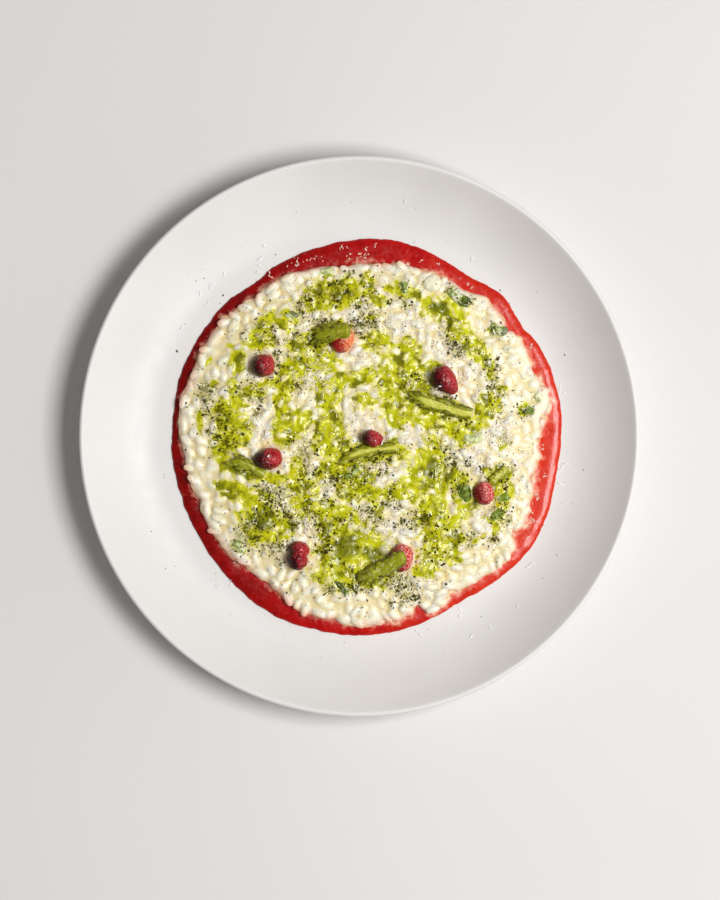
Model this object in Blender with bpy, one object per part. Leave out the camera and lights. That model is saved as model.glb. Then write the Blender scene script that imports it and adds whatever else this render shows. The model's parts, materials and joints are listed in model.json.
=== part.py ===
"""Asparagus risotto with wild berries on a coupe plate.

The plate stands at the origin with its foot on z = 0 and +Z up. On it lie a thin
round of red sauce, a flat heap of creamy rice, and berries, halved asparagus tips
and cut asparagus stems that are sunk into the rice. Metres throughout.
"""

import math
import random

import bmesh
import bpy
from mathutils import Matrix, Vector
from mathutils.geometry import delaunay_2d_cdt

MM = 0.001
SEED = 11

# Clear space between two pieces that touch.
GAP = 0.3 * MM

# The least rice left under a piece that is sunk into it.
BED = 0.5 * MM

# Plate: a flat well, then a wall that curves up ever more steeply to a round lip.
PLATE_RADIUS = 140.0 * MM
PLATE_HEIGHT = 27.0 * MM
WELL_RADIUS = 101.0 * MM
WELL_HEIGHT = 7.0 * MM
FOOT_RADIUS = 87.0 * MM
FOOT_WIDTH = 5.0 * MM
FOOT_RECESS = 2.4 * MM
FOOT_BLEND = 3.0 * MM
LIP_THICKNESS = 2.8 * MM
LIP_SLOPE = 1.05
WALL_THICKNESS = 4.2 * MM
PLATE_SEGMENTS = 60
WALL_STEPS = 5
LIP_STEPS = 3

# Sauce: a thin round that runs right through under the rice.
FOOD_CENTRE = Vector((3.4 * MM, -1.0 * MM, 0.0))
SAUCE_RADIUS = 98.0 * MM
SAUCE_DEPTH = 1.5 * MM
SAUCE_POINTS = 96
# Where the edge swells out or draws in: bearing and spread in degrees, swell.
SAUCE_SWELLS = [
    (20, 16, 1.0 * MM), (36, 5, -2.0 * MM), (46, 4, 1.4 * MM), (60, 8, -1.7 * MM),
    (86, 12, 2.5 * MM), (126, 4, -1.8 * MM), (160, 5, 0.9 * MM), (208, 14, -0.7 * MM),
    (243, 14, 2.4 * MM), (270, 6, 0.9 * MM), (300, 9, -3.0 * MM), (330, 8, 1.5 * MM),
    (350, 8, -0.9 * MM),
]

# Rice: a low heap with a rounded edge. Its grains show as bumps.
RICE_RADIUS = 91.0 * MM
RICE_EDGE_HEIGHT = 4.6 * MM
RICE_HEIGHT = 8.6 * MM
RICE_EDGE_ROUND = 5.0 * MM
RICE_SLOPE = 26.0 * MM
RICE_FOOT = 1.3 * MM
RICE_UNDERCUT = 0.8 * MM
RICE_POINTS = 104
RICE_SWELLS = [
    (10, 5, 3.2 * MM), (0, 4, -2.2 * MM), (30, 12, 0.6 * MM), (50, 4, 2.0 * MM),
    (57, 4, -2.0 * MM), (90, 14, -3.4 * MM), (116, 3, 1.2 * MM), (150, 14, 3.0 * MM),
    (174, 8, 3.6 * MM), (232, 7, -2.8 * MM), (250, 4, 2.2 * MM), (268, 9, 4.0 * MM),
    (292, 4, 2.4 * MM), (300, 3, -1.8 * MM), (320, 7, 2.8 * MM), (347, 9, -3.8 * MM),
]
GRAIN_LENGTH = 8.0 * MM
GRAIN_SPACING = 7.6 * MM
GRAIN_RISE = 0.7 * MM
GRAIN_DIP = 0.9 * MM
GRAIN_JITTER = 0.3 * MM
GRAIN_TRIES = 14000

# Berries: place, width and length, bearing of the pointed end in degrees, its
# tilt down from upright, and how much of the width stands above the rice.
BERRY_SIDES = 12
BERRY_RINGS = 7
BERRIES = [
    {"at": (-48.4, 35.2), "size": (12.0, 12.5), "bearing": 200, "tilt": 35, "proud": 0.68},
    {"at": (-8.4, 47.6), "size": (12.0, 13.5), "bearing": 60, "tilt": 75, "proud": 0.62},
    {"at": (42.6, 28.6), "size": (13.0, 15.5), "bearing": -48, "tilt": 80, "proud": 0.72},
    {"at": (6.5, -2.6), "size": (11.0, 12.0), "bearing": 140, "tilt": 50, "proud": 0.66},
    {"at": (-46.1, -11.2), "size": (12.0, 14.0), "bearing": 190, "tilt": 78, "proud": 0.62},
    {"at": (62.2, -28.8), "size": (11.4, 11.8), "bearing": 285, "tilt": 48, "proud": 0.66},
    {"at": (-30.7, -59.8), "size": (12.0, 14.6), "bearing": 262, "tilt": 80, "proud": 0.62},
    {"at": (21.2, -61.3), "size": (12.6, 13.8), "bearing": 255, "tilt": 78, "proud": 0.52},
]

# Asparagus tips: where the tip and the cut end lie, their heights above the rice,
# width, thickness, sideways bow, roll about the length in degrees, whether the
# tip is halved lengthwise, and the berry it leans on.
TIP_SECTION_SIDES = 5
TIPS = [
    {"tip": (-22.6, 49.6), "butt": (-6.0, 52.8), "rise": (1.6, 8.6), "size": (8.6, 4.4),
     "bow": 0.6, "roll": -8, "halved": True, "berry": 2},
    {"tip": (24.2, 22.0), "butt": (56.0, 11.6), "rise": (1.4, 2.6), "size": (6.8, 3.6),
     "bow": -1.2, "roll": 8, "halved": True, "berry": 3},
    {"tip": (-9.6, -12.2), "butt": (18.6, -5.8), "rise": (1.4, 3.8), "size": (6.6, 3.6),
     "bow": 1.4, "roll": -10, "halved": True, "berry": 4},
    {"tip": (-64.0, -11.8), "butt": (-47.6, -19.4), "rise": (1.6, 1.2), "size": (6.4, 4.6),
     "bow": 0.8, "roll": 0, "halved": True, "berry": 5},
    {"tip": (-2.0, -72.6), "butt": (19.6, -61.0), "rise": (1.8, 9.6), "size": (7.4, 6.4),
     "bow": -1.0, "roll": 0, "halved": False, "berry": 8},
    {"tip": (65.0, -24.4), "butt": (74.6, -16.6), "rise": (1.2, 1.8), "size": (6.2, 4.6),
     "bow": 0.0, "roll": 12, "halved": False, "berry": 6},
]

# Cut asparagus stems: place, diameter and length, bearing of the axis in degrees,
# its tilt down from upright, and how far the highest point stands above the rice.
STEM_SIDES = 10
STEMS = [
    {"at": (50.0, 69.2), "size": (6.2, 13.0), "bearing": -38, "tilt": 88, "proud": 1.8},
    {"at": (36.6, 76.4), "size": (9.4, 5.4), "bearing": 60, "tilt": 10, "proud": 1.2},
    {"at": (69.2, 53.4), "size": (5.6, 9.0), "bearing": -20, "tilt": 86, "proud": 1.4},
    {"at": (83.6, 12.6), "size": (5.6, 9.0), "bearing": -12, "tilt": 84, "proud": 1.2},
    {"at": (90.0, 19.6), "size": (5.2, 4.2), "bearing": 30, "tilt": 20, "proud": 1.4},
    {"at": (57.4, -0.8), "size": (5.6, 9.6), "bearing": 4, "tilt": 84, "proud": 1.3},
    {"at": (22.4, 74.0), "size": (4.4, 7.0), "bearing": 96, "tilt": 82, "proud": 1.2},
    {"at": (-34.6, 59.8), "size": (6.0, 7.4), "bearing": 40, "tilt": 80, "proud": 1.3},
    {"at": (-60.4, -55.2), "size": (5.4, 7.4), "bearing": 120, "tilt": 84, "proud": 1.3},
    {"at": (-16.2, 82.6), "size": (4.2, 6.4), "bearing": 10, "tilt": 84, "proud": 1.2},
    {"at": (52.6, -28.8), "size": (7.0, 8.4), "bearing": 100, "tilt": 66, "proud": 2.2},
    {"at": (68.6, -39.4), "size": (5.6, 8.0), "bearing": 48, "tilt": 80, "proud": 1.5},
    {"at": (72.0, -31.0), "size": (5.0, 6.2), "bearing": 20, "tilt": 80, "proud": 1.4},
    {"at": (-3.8, -18.2), "size": (4.8, 8.4), "bearing": 40, "tilt": 84, "proud": 1.2},
    {"at": (-11.4, -74.8), "size": (3.0, 14.0), "bearing": -34, "tilt": 86, "proud": 1.2},
]


def paint(name, colour, roughness):
    """Return a new Principled material."""
    material = bpy.data.materials.new(name)
    material.use_nodes = True
    shader = material.node_tree.nodes["Principled BSDF"]
    shader.inputs["Base Color"].default_value = (*colour, 1.0)
    shader.inputs["Roughness"].default_value = roughness
    shader.inputs["Metallic"].default_value = 0.0
    return material


def add_object(name, bm, material=None):
    """Turn a bmesh into a smooth-shaded object of the scene."""
    bmesh.ops.triangulate(bm, faces=bm.faces)
    bmesh.ops.recalc_face_normals(bm, faces=bm.faces)
    mesh = bpy.data.meshes.new(name)
    bm.to_mesh(mesh)
    bm.free()
    mesh.shade_smooth()
    mesh.set_sharp_from_angle(angle=math.radians(50))
    obj = bpy.data.objects.new(name, mesh)
    if material:
        mesh.materials.append(material)
    bpy.context.scene.collection.objects.link(obj)
    return obj


def rings_to_bmesh(rings, first_pole, last_pole, grow=0.0):
    """Skin a row of rings, close both ends on a pole, and push the skin out by grow."""
    bm = bmesh.new()
    rows = [[bm.verts.new(point) for point in ring] for ring in rings]
    sides = len(rows[0])
    for low, high in zip(rows, rows[1:]):
        for i in range(sides):
            j = (i + 1) % sides
            bm.faces.new((low[i], low[j], high[j], high[i]))
    for pole, row in ((first_pole, rows[0]), (last_pole, rows[-1])):
        centre = bm.verts.new(pole)
        for i in range(sides):
            bm.faces.new((row[i], row[(i + 1) % sides], centre))
    bmesh.ops.recalc_face_normals(bm, faces=bm.faces)
    if grow:
        bm.normal_update()
        moves = [vert.normal * vert.calc_shell_factor() * grow for vert in bm.verts]
        for vert, move in zip(bm.verts, moves):
            vert.co += move
    return bm


def swollen(radius, swells, bearing):
    """Radius of an uneven round outline at a bearing in degrees."""
    for centre, spread, swell in swells:
        off = (bearing - centre + 180) % 360 - 180
        radius += swell * math.exp(-0.5 * (off / spread) ** 2)
    return radius


def sauce_edge(bearing):
    return swollen(SAUCE_RADIUS, SAUCE_SWELLS, bearing)


def rice_edge(bearing):
    return swollen(RICE_RADIUS, RICE_SWELLS, bearing)


def food_point(radius, bearing, z):
    """A point by its distance and bearing from the middle of the food."""
    turn = math.radians(bearing)
    return FOOD_CENTRE + Vector((radius * math.cos(turn), radius * math.sin(turn), z))


SAUCE_FLOOR = WELL_HEIGHT + GAP
RICE_FLOOR = SAUCE_FLOOR + SAUCE_DEPTH + GAP


def rice_top(x, y):
    """Mean height of the rice surface: a round edge, a short slope, a flat middle."""
    flat = Vector((x, y, 0.0)) - FOOD_CENTRE
    inward = max(0.0, rice_edge(math.degrees(math.atan2(flat.y, flat.x))) - flat.length)
    round_part = min(1.0, inward / RICE_EDGE_ROUND)
    edge = RICE_EDGE_HEIGHT * math.sqrt(1.0 - (1.0 - round_part) ** 2)
    slope = min(1.0, inward / RICE_SLOPE)
    rise = (RICE_HEIGHT - RICE_EDGE_HEIGHT) * slope * slope * (3.0 - 2.0 * slope)
    return RICE_FLOOR + edge + rise


def plate_profile():
    """Half outline of the plate from its middle underneath, over the lip, to its middle."""
    foot_inner = FOOT_RADIUS - FOOT_WIDTH
    points = [
        (0.0, FOOT_RECESS),
        (foot_inner - FOOT_RECESS, FOOT_RECESS),
        (foot_inner, 0.0),
        (FOOT_RADIUS, 0.0),
        (FOOT_RADIUS + FOOT_BLEND, WELL_HEIGHT - WALL_THICKNESS),
    ]
    lip = LIP_THICKNESS / 2
    outward = Vector((LIP_SLOPE, -1.0)).normalized()
    along = Vector((1.0, LIP_SLOPE)).normalized()
    # The wall stops where the lip's half round touches the plate's full size.
    run = PLATE_RADIUS - lip * (1.0 + outward.x) - WELL_RADIUS
    rise = PLATE_HEIGHT - lip * (1.0 + outward.y) - WELL_HEIGHT
    shares = [i / WALL_STEPS for i in range(WALL_STEPS + 1)]
    top = [(WELL_RADIUS + run * share, WELL_HEIGHT + rise * share * share) for share in shares]
    for (radius, height), share in zip(top[:-1], shares):
        thickness = WALL_THICKNESS + (LIP_THICKNESS - WALL_THICKNESS) * share
        normal = Vector((LIP_SLOPE * share, -1.0)).normalized()
        points.append((radius + normal.x * thickness, height + normal.y * thickness))
    middle = Vector(top[-1]) + outward * lip
    for i in range(LIP_STEPS + 1):
        turn = math.pi * i / LIP_STEPS
        point = middle + outward * lip * math.cos(turn) + along * lip * math.sin(turn)
        points.append(tuple(point))
    points.extend(reversed(top[:-1]))
    points.append((0.0, WELL_HEIGHT))
    return points


def make_plate(material):
    """Turn the plate's profile about Z."""
    bm = bmesh.new()
    verts = [bm.verts.new((radius, 0.0, height)) for radius, height in plate_profile()]
    edges = [bm.edges.new(pair) for pair in zip(verts, verts[1:])]
    bmesh.ops.spin(bm, geom=verts + edges, cent=(0, 0, 0), axis=(0, 0, 1),
                   angle=2 * math.pi, steps=PLATE_SEGMENTS, use_merge=True)
    bmesh.ops.remove_doubles(bm, verts=bm.verts, dist=0.01 * MM)
    return add_object("plate", bm, material)


def make_sauce(material):
    """Skin the uneven round of sauce, its edge bulging like a held drop."""
    shape = [(-0.6, 0.0), (0.0, 0.4), (-0.35, 0.8), (-1.6, 1.0)]
    rings = []
    for inset, height in shape:
        z = SAUCE_FLOOR + SAUCE_DEPTH * height
        rings.append([food_point(sauce_edge(bearing) + inset * MM, bearing, z)
                      for bearing in (360 * i / SAUCE_POINTS for i in range(SAUCE_POINTS))])
    floor = FOOD_CENTRE + Vector((0, 0, SAUCE_FLOOR))
    top = FOOD_CENTRE + Vector((0, 0, SAUCE_FLOOR + SAUCE_DEPTH))
    return add_object("sauce", rings_to_bmesh(rings, floor, top), material)


def scatter_grains(draw):
    """Place grains evenly but at random, as pairs of points on each grain's back."""
    grains = []
    for _ in range(GRAIN_TRIES):
        bearing = draw.uniform(0, 360)
        reach = rice_edge(bearing) - 0.35 * GRAIN_LENGTH
        centre = food_point(reach * math.sqrt(draw.random()), bearing, 0.0)
        turn = draw.uniform(0, math.pi)
        if any((centre - other).length < GRAIN_SPACING for other, _ in grains):
            continue
        half = Vector((math.cos(turn), math.sin(turn), 0.0)) * GRAIN_LENGTH * 0.24
        grains.append((centre, half))
    return grains


def make_rice(material):
    """Lay a bumpy skin over the heap: grain backs high, the gaps between them low."""
    draw = random.Random(SEED)
    rim = [food_point(rice_edge(360 * i / RICE_POINTS) + draw.uniform(-0.5, 0.5) * MM,
                      360 * i / RICE_POINTS, 0.0) for i in range(RICE_POINTS)]
    flat = [point.xy for point in rim]
    owner = [None] * RICE_POINTS
    for number, (centre, half) in enumerate(scatter_grains(draw)):
        flat.extend(((centre + half).xy, (centre - half).xy))
        owner.extend((number, number))
    ring = [(i, (i + 1) % RICE_POINTS) for i in range(RICE_POINTS)]
    points, _, faces, origins, _, _ = delaunay_2d_cdt(flat, ring, [], 1, 1e-7, True)

    bm = bmesh.new()
    verts = []
    for point, origin in zip(points, origins):
        number = owner[origin[0]] if origin else None
        if number is None:
            z = RICE_FLOOR + RICE_FOOT
        else:
            lift = GRAIN_RISE + draw.uniform(-1, 1) * GRAIN_JITTER
            z = rice_top(*point) + lift
        verts.append((bm.verts.new((*point, z)), number))
    grain_of = dict(verts)
    for face in faces:
        bm.faces.new([verts[i][0] for i in face])
    gap_edges = [edge for edge in bm.edges if not edge.is_boundary
                 and (grain_of[edge.verts[0]] is None
                      or grain_of[edge.verts[0]] != grain_of[edge.verts[1]])]
    poked = bmesh.ops.poke(bm, faces=bm.faces)
    for vert in poked["verts"]:
        dip = GRAIN_DIP + draw.uniform(-1, 1) * GRAIN_JITTER
        vert.co.z = max(RICE_FLOOR + RICE_FOOT, rice_top(vert.co.x, vert.co.y) - dip)
    bmesh.ops.rotate_edges(bm, edges=gap_edges, use_ccw=False)

    boundary = [edge for edge in bm.edges if edge.is_boundary]
    skirt = bmesh.ops.extrude_edge_only(bm, edges=boundary)["geom"]
    base = [item for item in skirt if isinstance(item, bmesh.types.BMVert)]
    for vert in base:
        inward = FOOD_CENTRE.xy - vert.co.xy
        vert.co.xy += inward.normalized() * RICE_UNDERCUT
        vert.co.z = RICE_FLOOR
    base.sort(key=lambda vert: math.atan2(vert.co.y - FOOD_CENTRE.y, vert.co.x - FOOD_CENTRE.x))
    bm.faces.new(base)
    return add_object("risotto", bm, material)


def pose(at, bearing, tilt, z):
    """A frame whose Z axis leans by tilt from upright towards a bearing."""
    lean = Matrix.Rotation(math.radians(bearing), 4, "Z") @ Matrix.Rotation(math.radians(tilt), 4, "Y")
    return Matrix.Translation((at[0] * MM, at[1] * MM, z)) @ lean


def berry_bmesh(spec, grow=0.0):
    """A blunt cone with a round shoulder, like a small wild strawberry."""
    width, length = (size * MM for size in spec["size"])
    x, y = (place * MM for place in spec["at"])
    centre = max(rice_top(x, y) + (spec["proud"] - 0.5) * width, RICE_FLOOR + BED + 0.5 * width)
    frame = pose(spec["at"], spec["bearing"], spec["tilt"], centre)
    rings = []
    for i in range(1, BERRY_RINGS):
        turn = math.pi * i / BERRY_RINGS
        along = -0.5 * length * math.cos(turn)
        # The widest place lies nearer the shoulder than the point.
        radius = 0.5 * width * math.sin(turn) ** 0.8 * (1.0 - 0.16 * (1.0 - math.cos(turn)) / 2)
        rings.append([frame @ Vector((radius * math.cos(side), radius * math.sin(side), along))
                      for side in (2 * math.pi * k / BERRY_SIDES for k in range(BERRY_SIDES))])
    return rings_to_bmesh(rings, frame @ Vector((0, 0, -0.5 * length)),
                          frame @ Vector((0, 0, 0.5 * length)), grow)


def tip_section(halved, sides):
    """Cross-section of an asparagus tip: round, or round below with a flat cut face."""
    if not halved:
        count = 2 * sides - 2
        return [(math.cos(2 * math.pi * k / count), math.sin(2 * math.pi * k / count))
                for k in range(count)]
    arc = [(math.cos(math.pi * k / sides), -math.sin(math.pi * k / sides)) for k in range(sides + 1)]
    return arc + [(-0.45, 0.12), (0.0, 0.16), (0.45, 0.12)]


def tip_bmesh(spec, grow=0.0):
    """A spear's end: a pointed bud with scale-like swellings, then a plain stem."""
    start, end = (Vector((*(v * MM for v in spec[key]), 0.0)) for key in ("tip", "butt"))
    rise = [height * MM for height in spec["rise"]]
    half_width, depth = spec["size"][0] * MM / 2, spec["size"][1] * MM
    along = (end - start).normalized()
    side = Vector((-along.y, along.x, 0.0))
    # Distance along the tip as a share of its length, and the width there.
    stations = [(0.05, 0.34), (0.14, 0.66), (0.24, 0.80), (0.30, 1.00), (0.42, 0.86),
                (0.50, 1.02), (0.62, 0.86), (0.68, 0.94), (0.82, 0.86), (1.0, 0.84)]
    climb = (rice_top(end.x, end.y) + rise[1]) - (rice_top(start.x, start.y) + rise[0])
    slope = Vector(((end - start).length, climb)).normalized()
    forward = along * slope.x + Vector((0, 0, slope.y))
    normal = Vector((0, 0, slope.x)) - along * slope.y
    roll = Matrix.Rotation(math.radians(spec["roll"]), 3, forward)
    across, upward = roll @ side, roll @ normal
    section = tip_section(spec["halved"], TIP_SECTION_SIDES)
    middle_drop = 0.0 if spec["halved"] else depth / 2
    rings = []
    origin = start + Vector((0, 0, rice_top(start.x, start.y) + rise[0]))
    span = (end - start).length / slope.x

    def middle(share):
        bow = spec["bow"] * MM * 4 * share * (1 - share)
        return origin + forward * span * share + across * bow - upward * middle_drop

    for share, width in stations:
        high = depth / 2 if not spec["halved"] else depth
        rings.append([middle(share) + across * u * half_width * width + upward * v * high * width
                      for u, v in section])
    tail = -0.2 if spec["halved"] else 0.0
    return rings_to_bmesh(rings, middle(0.0) + upward * tail * depth * 0.5,
                          middle(1.0) + upward * tail * depth, grow)


def stem_bmesh(spec, grow=0.0):
    """A short round stem with softened cut ends."""
    diameter, length = (size * MM for size in spec["size"])
    lean = math.radians(spec["tilt"])
    x, y = (place * MM for place in spec["at"])
    reach = 0.5 * (length * math.cos(lean) + diameter * math.sin(lean))
    centre = max(rice_top(x, y) + spec["proud"] * MM - reach, RICE_FLOOR + BED + reach)
    frame = pose(spec["at"], spec["bearing"], spec["tilt"], centre)
    soft = 0.1 * diameter
    shape = [(-0.5 * length, 0.5 * diameter - soft), (-0.5 * length + soft, 0.5 * diameter),
             (0.5 * length - soft, 0.5 * diameter), (0.5 * length, 0.5 * diameter - soft)]
    rings = [[frame @ Vector((radius * math.cos(side), radius * math.sin(side), along))
              for side in (2 * math.pi * k / STEM_SIDES for k in range(STEM_SIDES))]
             for along, radius in shape]
    return rings_to_bmesh(rings, frame @ Vector((0, 0, -0.5 * length)),
                          frame @ Vector((0, 0, 0.5 * length)), grow)


def cut(target, cutters):
    """Cut grown copies of its neighbours out of an object, and drop the copies."""
    collection = bpy.data.collections.new("cutters")
    bpy.context.scene.collection.children.link(collection)
    for bm in cutters:
        cutter = add_object("cutter", bm)
        bpy.context.scene.collection.objects.unlink(cutter)
        collection.objects.link(cutter)
        cutter.hide_render = True
        cutter.display_type = "WIRE"
    modifier = target.modifiers.new("sockets", "BOOLEAN")
    modifier.operand_type = "COLLECTION"
    modifier.collection = collection
    modifier.operation = "DIFFERENCE"
    modifier.solver = "EXACT"
    bpy.context.view_layer.update()
    shaped = target.evaluated_get(bpy.context.evaluated_depsgraph_get())
    mesh = bpy.data.meshes.new_from_object(shaped)
    target.modifiers.clear()
    target.data = mesh
    for cutter in list(collection.objects):
        bpy.data.objects.remove(cutter)
    bpy.data.collections.remove(collection)


def main():
    for obj in list(bpy.data.objects):
        bpy.data.objects.remove(obj)
    porcelain = paint("porcelain", (0.80, 0.78, 0.76), 0.35)
    red_sauce = paint("red_sauce", (0.55, 0.02, 0.015), 0.15)
    rice = paint("rice", (0.84, 0.78, 0.58), 0.4)
    berry = paint("berry", (0.36, 0.01, 0.02), 0.35)
    asparagus = paint("asparagus", (0.36, 0.42, 0.06), 0.4)

    make_plate(porcelain)
    make_sauce(red_sauce)
    heap = make_rice(rice)
    for number, spec in enumerate(BERRIES, 1):
        add_object(f"berry_{number}", berry_bmesh(spec), berry)
    for number, spec in enumerate(TIPS, 1):
        spear = add_object(f"asparagus_tip_{number}", tip_bmesh(spec), asparagus)
        cut(spear, [berry_bmesh(BERRIES[spec["berry"] - 1], GAP)])
    for number, spec in enumerate(STEMS, 1):
        add_object(f"asparagus_stem_{number:02d}", stem_bmesh(spec), asparagus)
    sunk = [berry_bmesh(spec, GAP) for spec in BERRIES]
    sunk += [tip_bmesh(spec, GAP) for spec in TIPS]
    sunk += [stem_bmesh(spec, GAP) for spec in STEMS]
    cut(heap, sunk)


main()
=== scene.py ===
"""Looks of the asparagus risotto on its coupe plate.

The plate, the sauce and every berry, tip and stem stay where their CAD solids are.
The plain heap of rice is replaced by cream with real grains in it, green oil in its
hollows, and shreds of cheese and flecks of herb on top. Metres, unless a comment at a
table says otherwise.
"""

import json
import math

import bpy
import numpy as np
from mathutils import Matrix, Vector
from mathutils.bvhtree import BVHTree
from mathutils.geometry import delaunay_2d_cdt

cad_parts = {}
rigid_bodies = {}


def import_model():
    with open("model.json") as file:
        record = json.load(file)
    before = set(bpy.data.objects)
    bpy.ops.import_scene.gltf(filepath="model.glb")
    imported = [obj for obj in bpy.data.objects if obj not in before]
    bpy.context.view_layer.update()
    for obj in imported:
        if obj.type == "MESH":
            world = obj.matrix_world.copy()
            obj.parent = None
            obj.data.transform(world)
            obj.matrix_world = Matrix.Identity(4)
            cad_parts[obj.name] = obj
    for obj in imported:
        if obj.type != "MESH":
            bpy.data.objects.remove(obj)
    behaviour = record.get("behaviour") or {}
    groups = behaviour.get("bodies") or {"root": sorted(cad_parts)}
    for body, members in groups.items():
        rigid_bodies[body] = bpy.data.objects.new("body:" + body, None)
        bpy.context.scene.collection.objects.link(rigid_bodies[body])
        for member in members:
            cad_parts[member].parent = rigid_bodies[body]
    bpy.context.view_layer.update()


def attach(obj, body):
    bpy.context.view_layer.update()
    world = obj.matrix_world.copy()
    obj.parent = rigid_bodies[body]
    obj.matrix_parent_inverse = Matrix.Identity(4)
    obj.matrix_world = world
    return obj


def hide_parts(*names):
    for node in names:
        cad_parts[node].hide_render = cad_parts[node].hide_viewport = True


MM = 0.001
TAU = 2 * math.pi

# The photograph's frame: its size, the plate's middle in it and the size of a pixel.
PHOTO_SIZE = (720, 900)
PLATE_AT = (359.5, 436.1)
PIXEL = 0.49877 * MM

# Plate, as in the part's source but with finer steps.
PLATE_RADIUS = 140.0 * MM
PLATE_HEIGHT = 27.0 * MM
WELL_RADIUS = 101.0 * MM
WELL_HEIGHT = 7.0 * MM
FOOT_RADIUS = 87.0 * MM
FOOT_WIDTH = 5.0 * MM
FOOT_RECESS = 2.4 * MM
FOOT_BLEND = 3.0 * MM
LIP_THICKNESS = 2.8 * MM
LIP_SLOPE = 1.05
WALL_THICKNESS = 4.2 * MM
# How far inside the plate's radius its upper surface ends, and how high it rises there.
LIP_INSET = 2.4 * MM
WALL_RISE = 18.5 * MM
PLATE_SIDES = 256
WALL_STEPS = 24
LIP_STEPS = 10

# Sauce and rice, as in the part's source.
GAP = 0.3 * MM
BED = 0.5 * MM
FOOD_CENTRE = Vector((3.4 * MM, -1.0 * MM, 0.0))
SAUCE_RADIUS = 98.0 * MM
SAUCE_DEPTH = 1.5 * MM
SAUCE_SWELLS = [
    (20, 16, 1.0), (36, 5, -2.0), (46, 4, 1.4), (60, 8, -1.7), (86, 12, 2.5), (126, 4, -1.8),
    (160, 5, 0.9), (208, 14, -0.7), (243, 14, 2.4), (270, 6, 0.9), (300, 9, -3.0), (330, 8, 1.5),
    (350, 8, -0.9),
]
RICE_RADIUS = 91.0 * MM
RICE_EDGE_HEIGHT = 4.6 * MM
RICE_HEIGHT = 8.6 * MM
RICE_EDGE_ROUND = 5.0 * MM
RICE_SLOPE = 26.0 * MM
RICE_SWELLS = [
    (10, 5, 3.2), (0, 4, -2.2), (30, 12, 0.6), (50, 4, 2.0), (57, 4, -2.0), (90, 14, -3.4),
    (116, 3, 1.2), (150, 14, 3.0), (174, 8, 3.6), (232, 7, -2.8), (250, 4, 2.2), (268, 9, 4.0),
    (292, 4, 2.4), (300, 3, -1.8), (320, 7, 2.8), (347, 9, -3.8),
]
# Lumps and bays of sauce in the edge of the rice, finer than the part's own outline:
# bearing and spread in degrees, swell in millimetres, as in the swells above.
RICE_BAYS = [
    (-32.5, 1.5, -5.0), (-73.0, 1.0, -4.2), (-84.0, 1.6, -1.8), (-61.0, 0.8, -1.6),
    (-100.0, 1.2, -1.6), (-24.0, 1.0, 2.0), (38.0, 0.9, -2.4), (33.0, 0.8, 1.6),
    (22.0, 0.9, -2.0), (15.0, 0.8, 1.8), (8.0, 0.7, -1.6), (-6.0, 1.0, 1.6), (-14.0, 0.9, -1.8),
    (98.0, 1.2, -2.0), (80.0, 1.0, 1.4), (128.0, 1.4, -1.8), (140.0, 1.0, 1.4),
    (200.0, 1.2, -1.6), (222.0, 1.0, 1.4), (236.0, 1.2, -1.4),
]
SAUCE_FLOOR = WELL_HEIGHT + GAP
SAUCE_TOP = SAUCE_FLOOR + SAUCE_DEPTH
RICE_FLOOR = SAUCE_TOP + GAP



def named(keys, rows):
    """One dict for each row of a table whose columns are named once."""
    return [dict(zip(keys.split(), row)) for row in rows]


# Berries, asparagus tips and stems, as in the part's source: places, sizes, rises, bows
# and a stem's height above the rice in millimetres, all turns in degrees, and the share
# of a berry's width that stands above the rice.
BERRIES = named("at size bearing tilt proud", [
    ((-48.4, 35.2), (12.0, 12.5), 200, 35, 0.68),
    ((-8.4, 47.6), (12.0, 13.5), 60, 75, 0.62),
    ((42.6, 28.6), (13.0, 15.5), -48, 80, 0.72),
    ((6.5, -2.6), (11.0, 12.0), 140, 50, 0.66),
    ((-46.1, -11.2), (12.0, 14.0), 190, 78, 0.62),
    ((62.2, -28.8), (11.4, 11.8), 285, 48, 0.66),
    ((-30.7, -59.8), (12.0, 14.6), 262, 80, 0.62),
    ((21.2, -61.3), (12.6, 13.8), 255, 78, 0.52),
])
TIPS = named("tip butt rise size bow roll halved", [
    ((-22.6, 49.6), (-6.0, 52.8), (1.6, 8.6), (8.6, 4.4), 0.6, -8, True),
    ((24.2, 22.0), (56.0, 11.6), (1.4, 2.6), (6.8, 3.6), -1.2, 8, True),
    ((-9.6, -12.2), (18.6, -5.8), (1.4, 3.8), (6.6, 3.6), 1.4, -10, True),
    ((-64.0, -11.8), (-47.6, -19.4), (1.6, 1.2), (6.4, 4.6), 0.8, 0, True),
    ((-2.0, -72.6), (19.6, -61.0), (1.8, 9.6), (7.4, 6.4), -1.0, 0, False),
    ((65.0, -24.4), (74.6, -16.6), (1.2, 1.8), (6.2, 4.6), 0.0, 12, False),
])
STEMS = named("at size bearing tilt proud", [
    ((50.0, 69.2), (6.2, 13.0), -38, 88, 1.8),
    ((36.6, 76.4), (9.4, 5.4), 60, 10, 1.2),
    ((69.2, 53.4), (5.6, 9.0), -20, 86, 1.4),
    ((83.6, 12.6), (5.6, 9.0), -12, 84, 1.2),
    ((90.0, 19.6), (5.2, 4.2), 30, 20, 1.4),
    ((57.4, -0.8), (5.6, 9.6), 4, 84, 1.3),
    ((22.4, 74.0), (4.4, 7.0), 96, 82, 1.2),
    ((-34.6, 59.8), (6.0, 7.4), 40, 80, 1.3),
    ((-60.4, -55.2), (5.4, 7.4), 120, 84, 1.3),
    ((-16.2, 82.6), (4.2, 6.4), 10, 84, 1.2),
    ((52.6, -28.8), (7.0, 8.4), 100, 66, 2.2),
    ((68.6, -39.4), (5.6, 8.0), 48, 80, 1.5),
    ((72.0, -31.0), (5.0, 6.2), 20, 80, 1.4),
    ((-3.8, -18.2), (4.8, 8.4), 40, 84, 1.2),
    ((-11.4, -74.8), (3.0, 14.0), -34, 86, 1.2),
])

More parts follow.
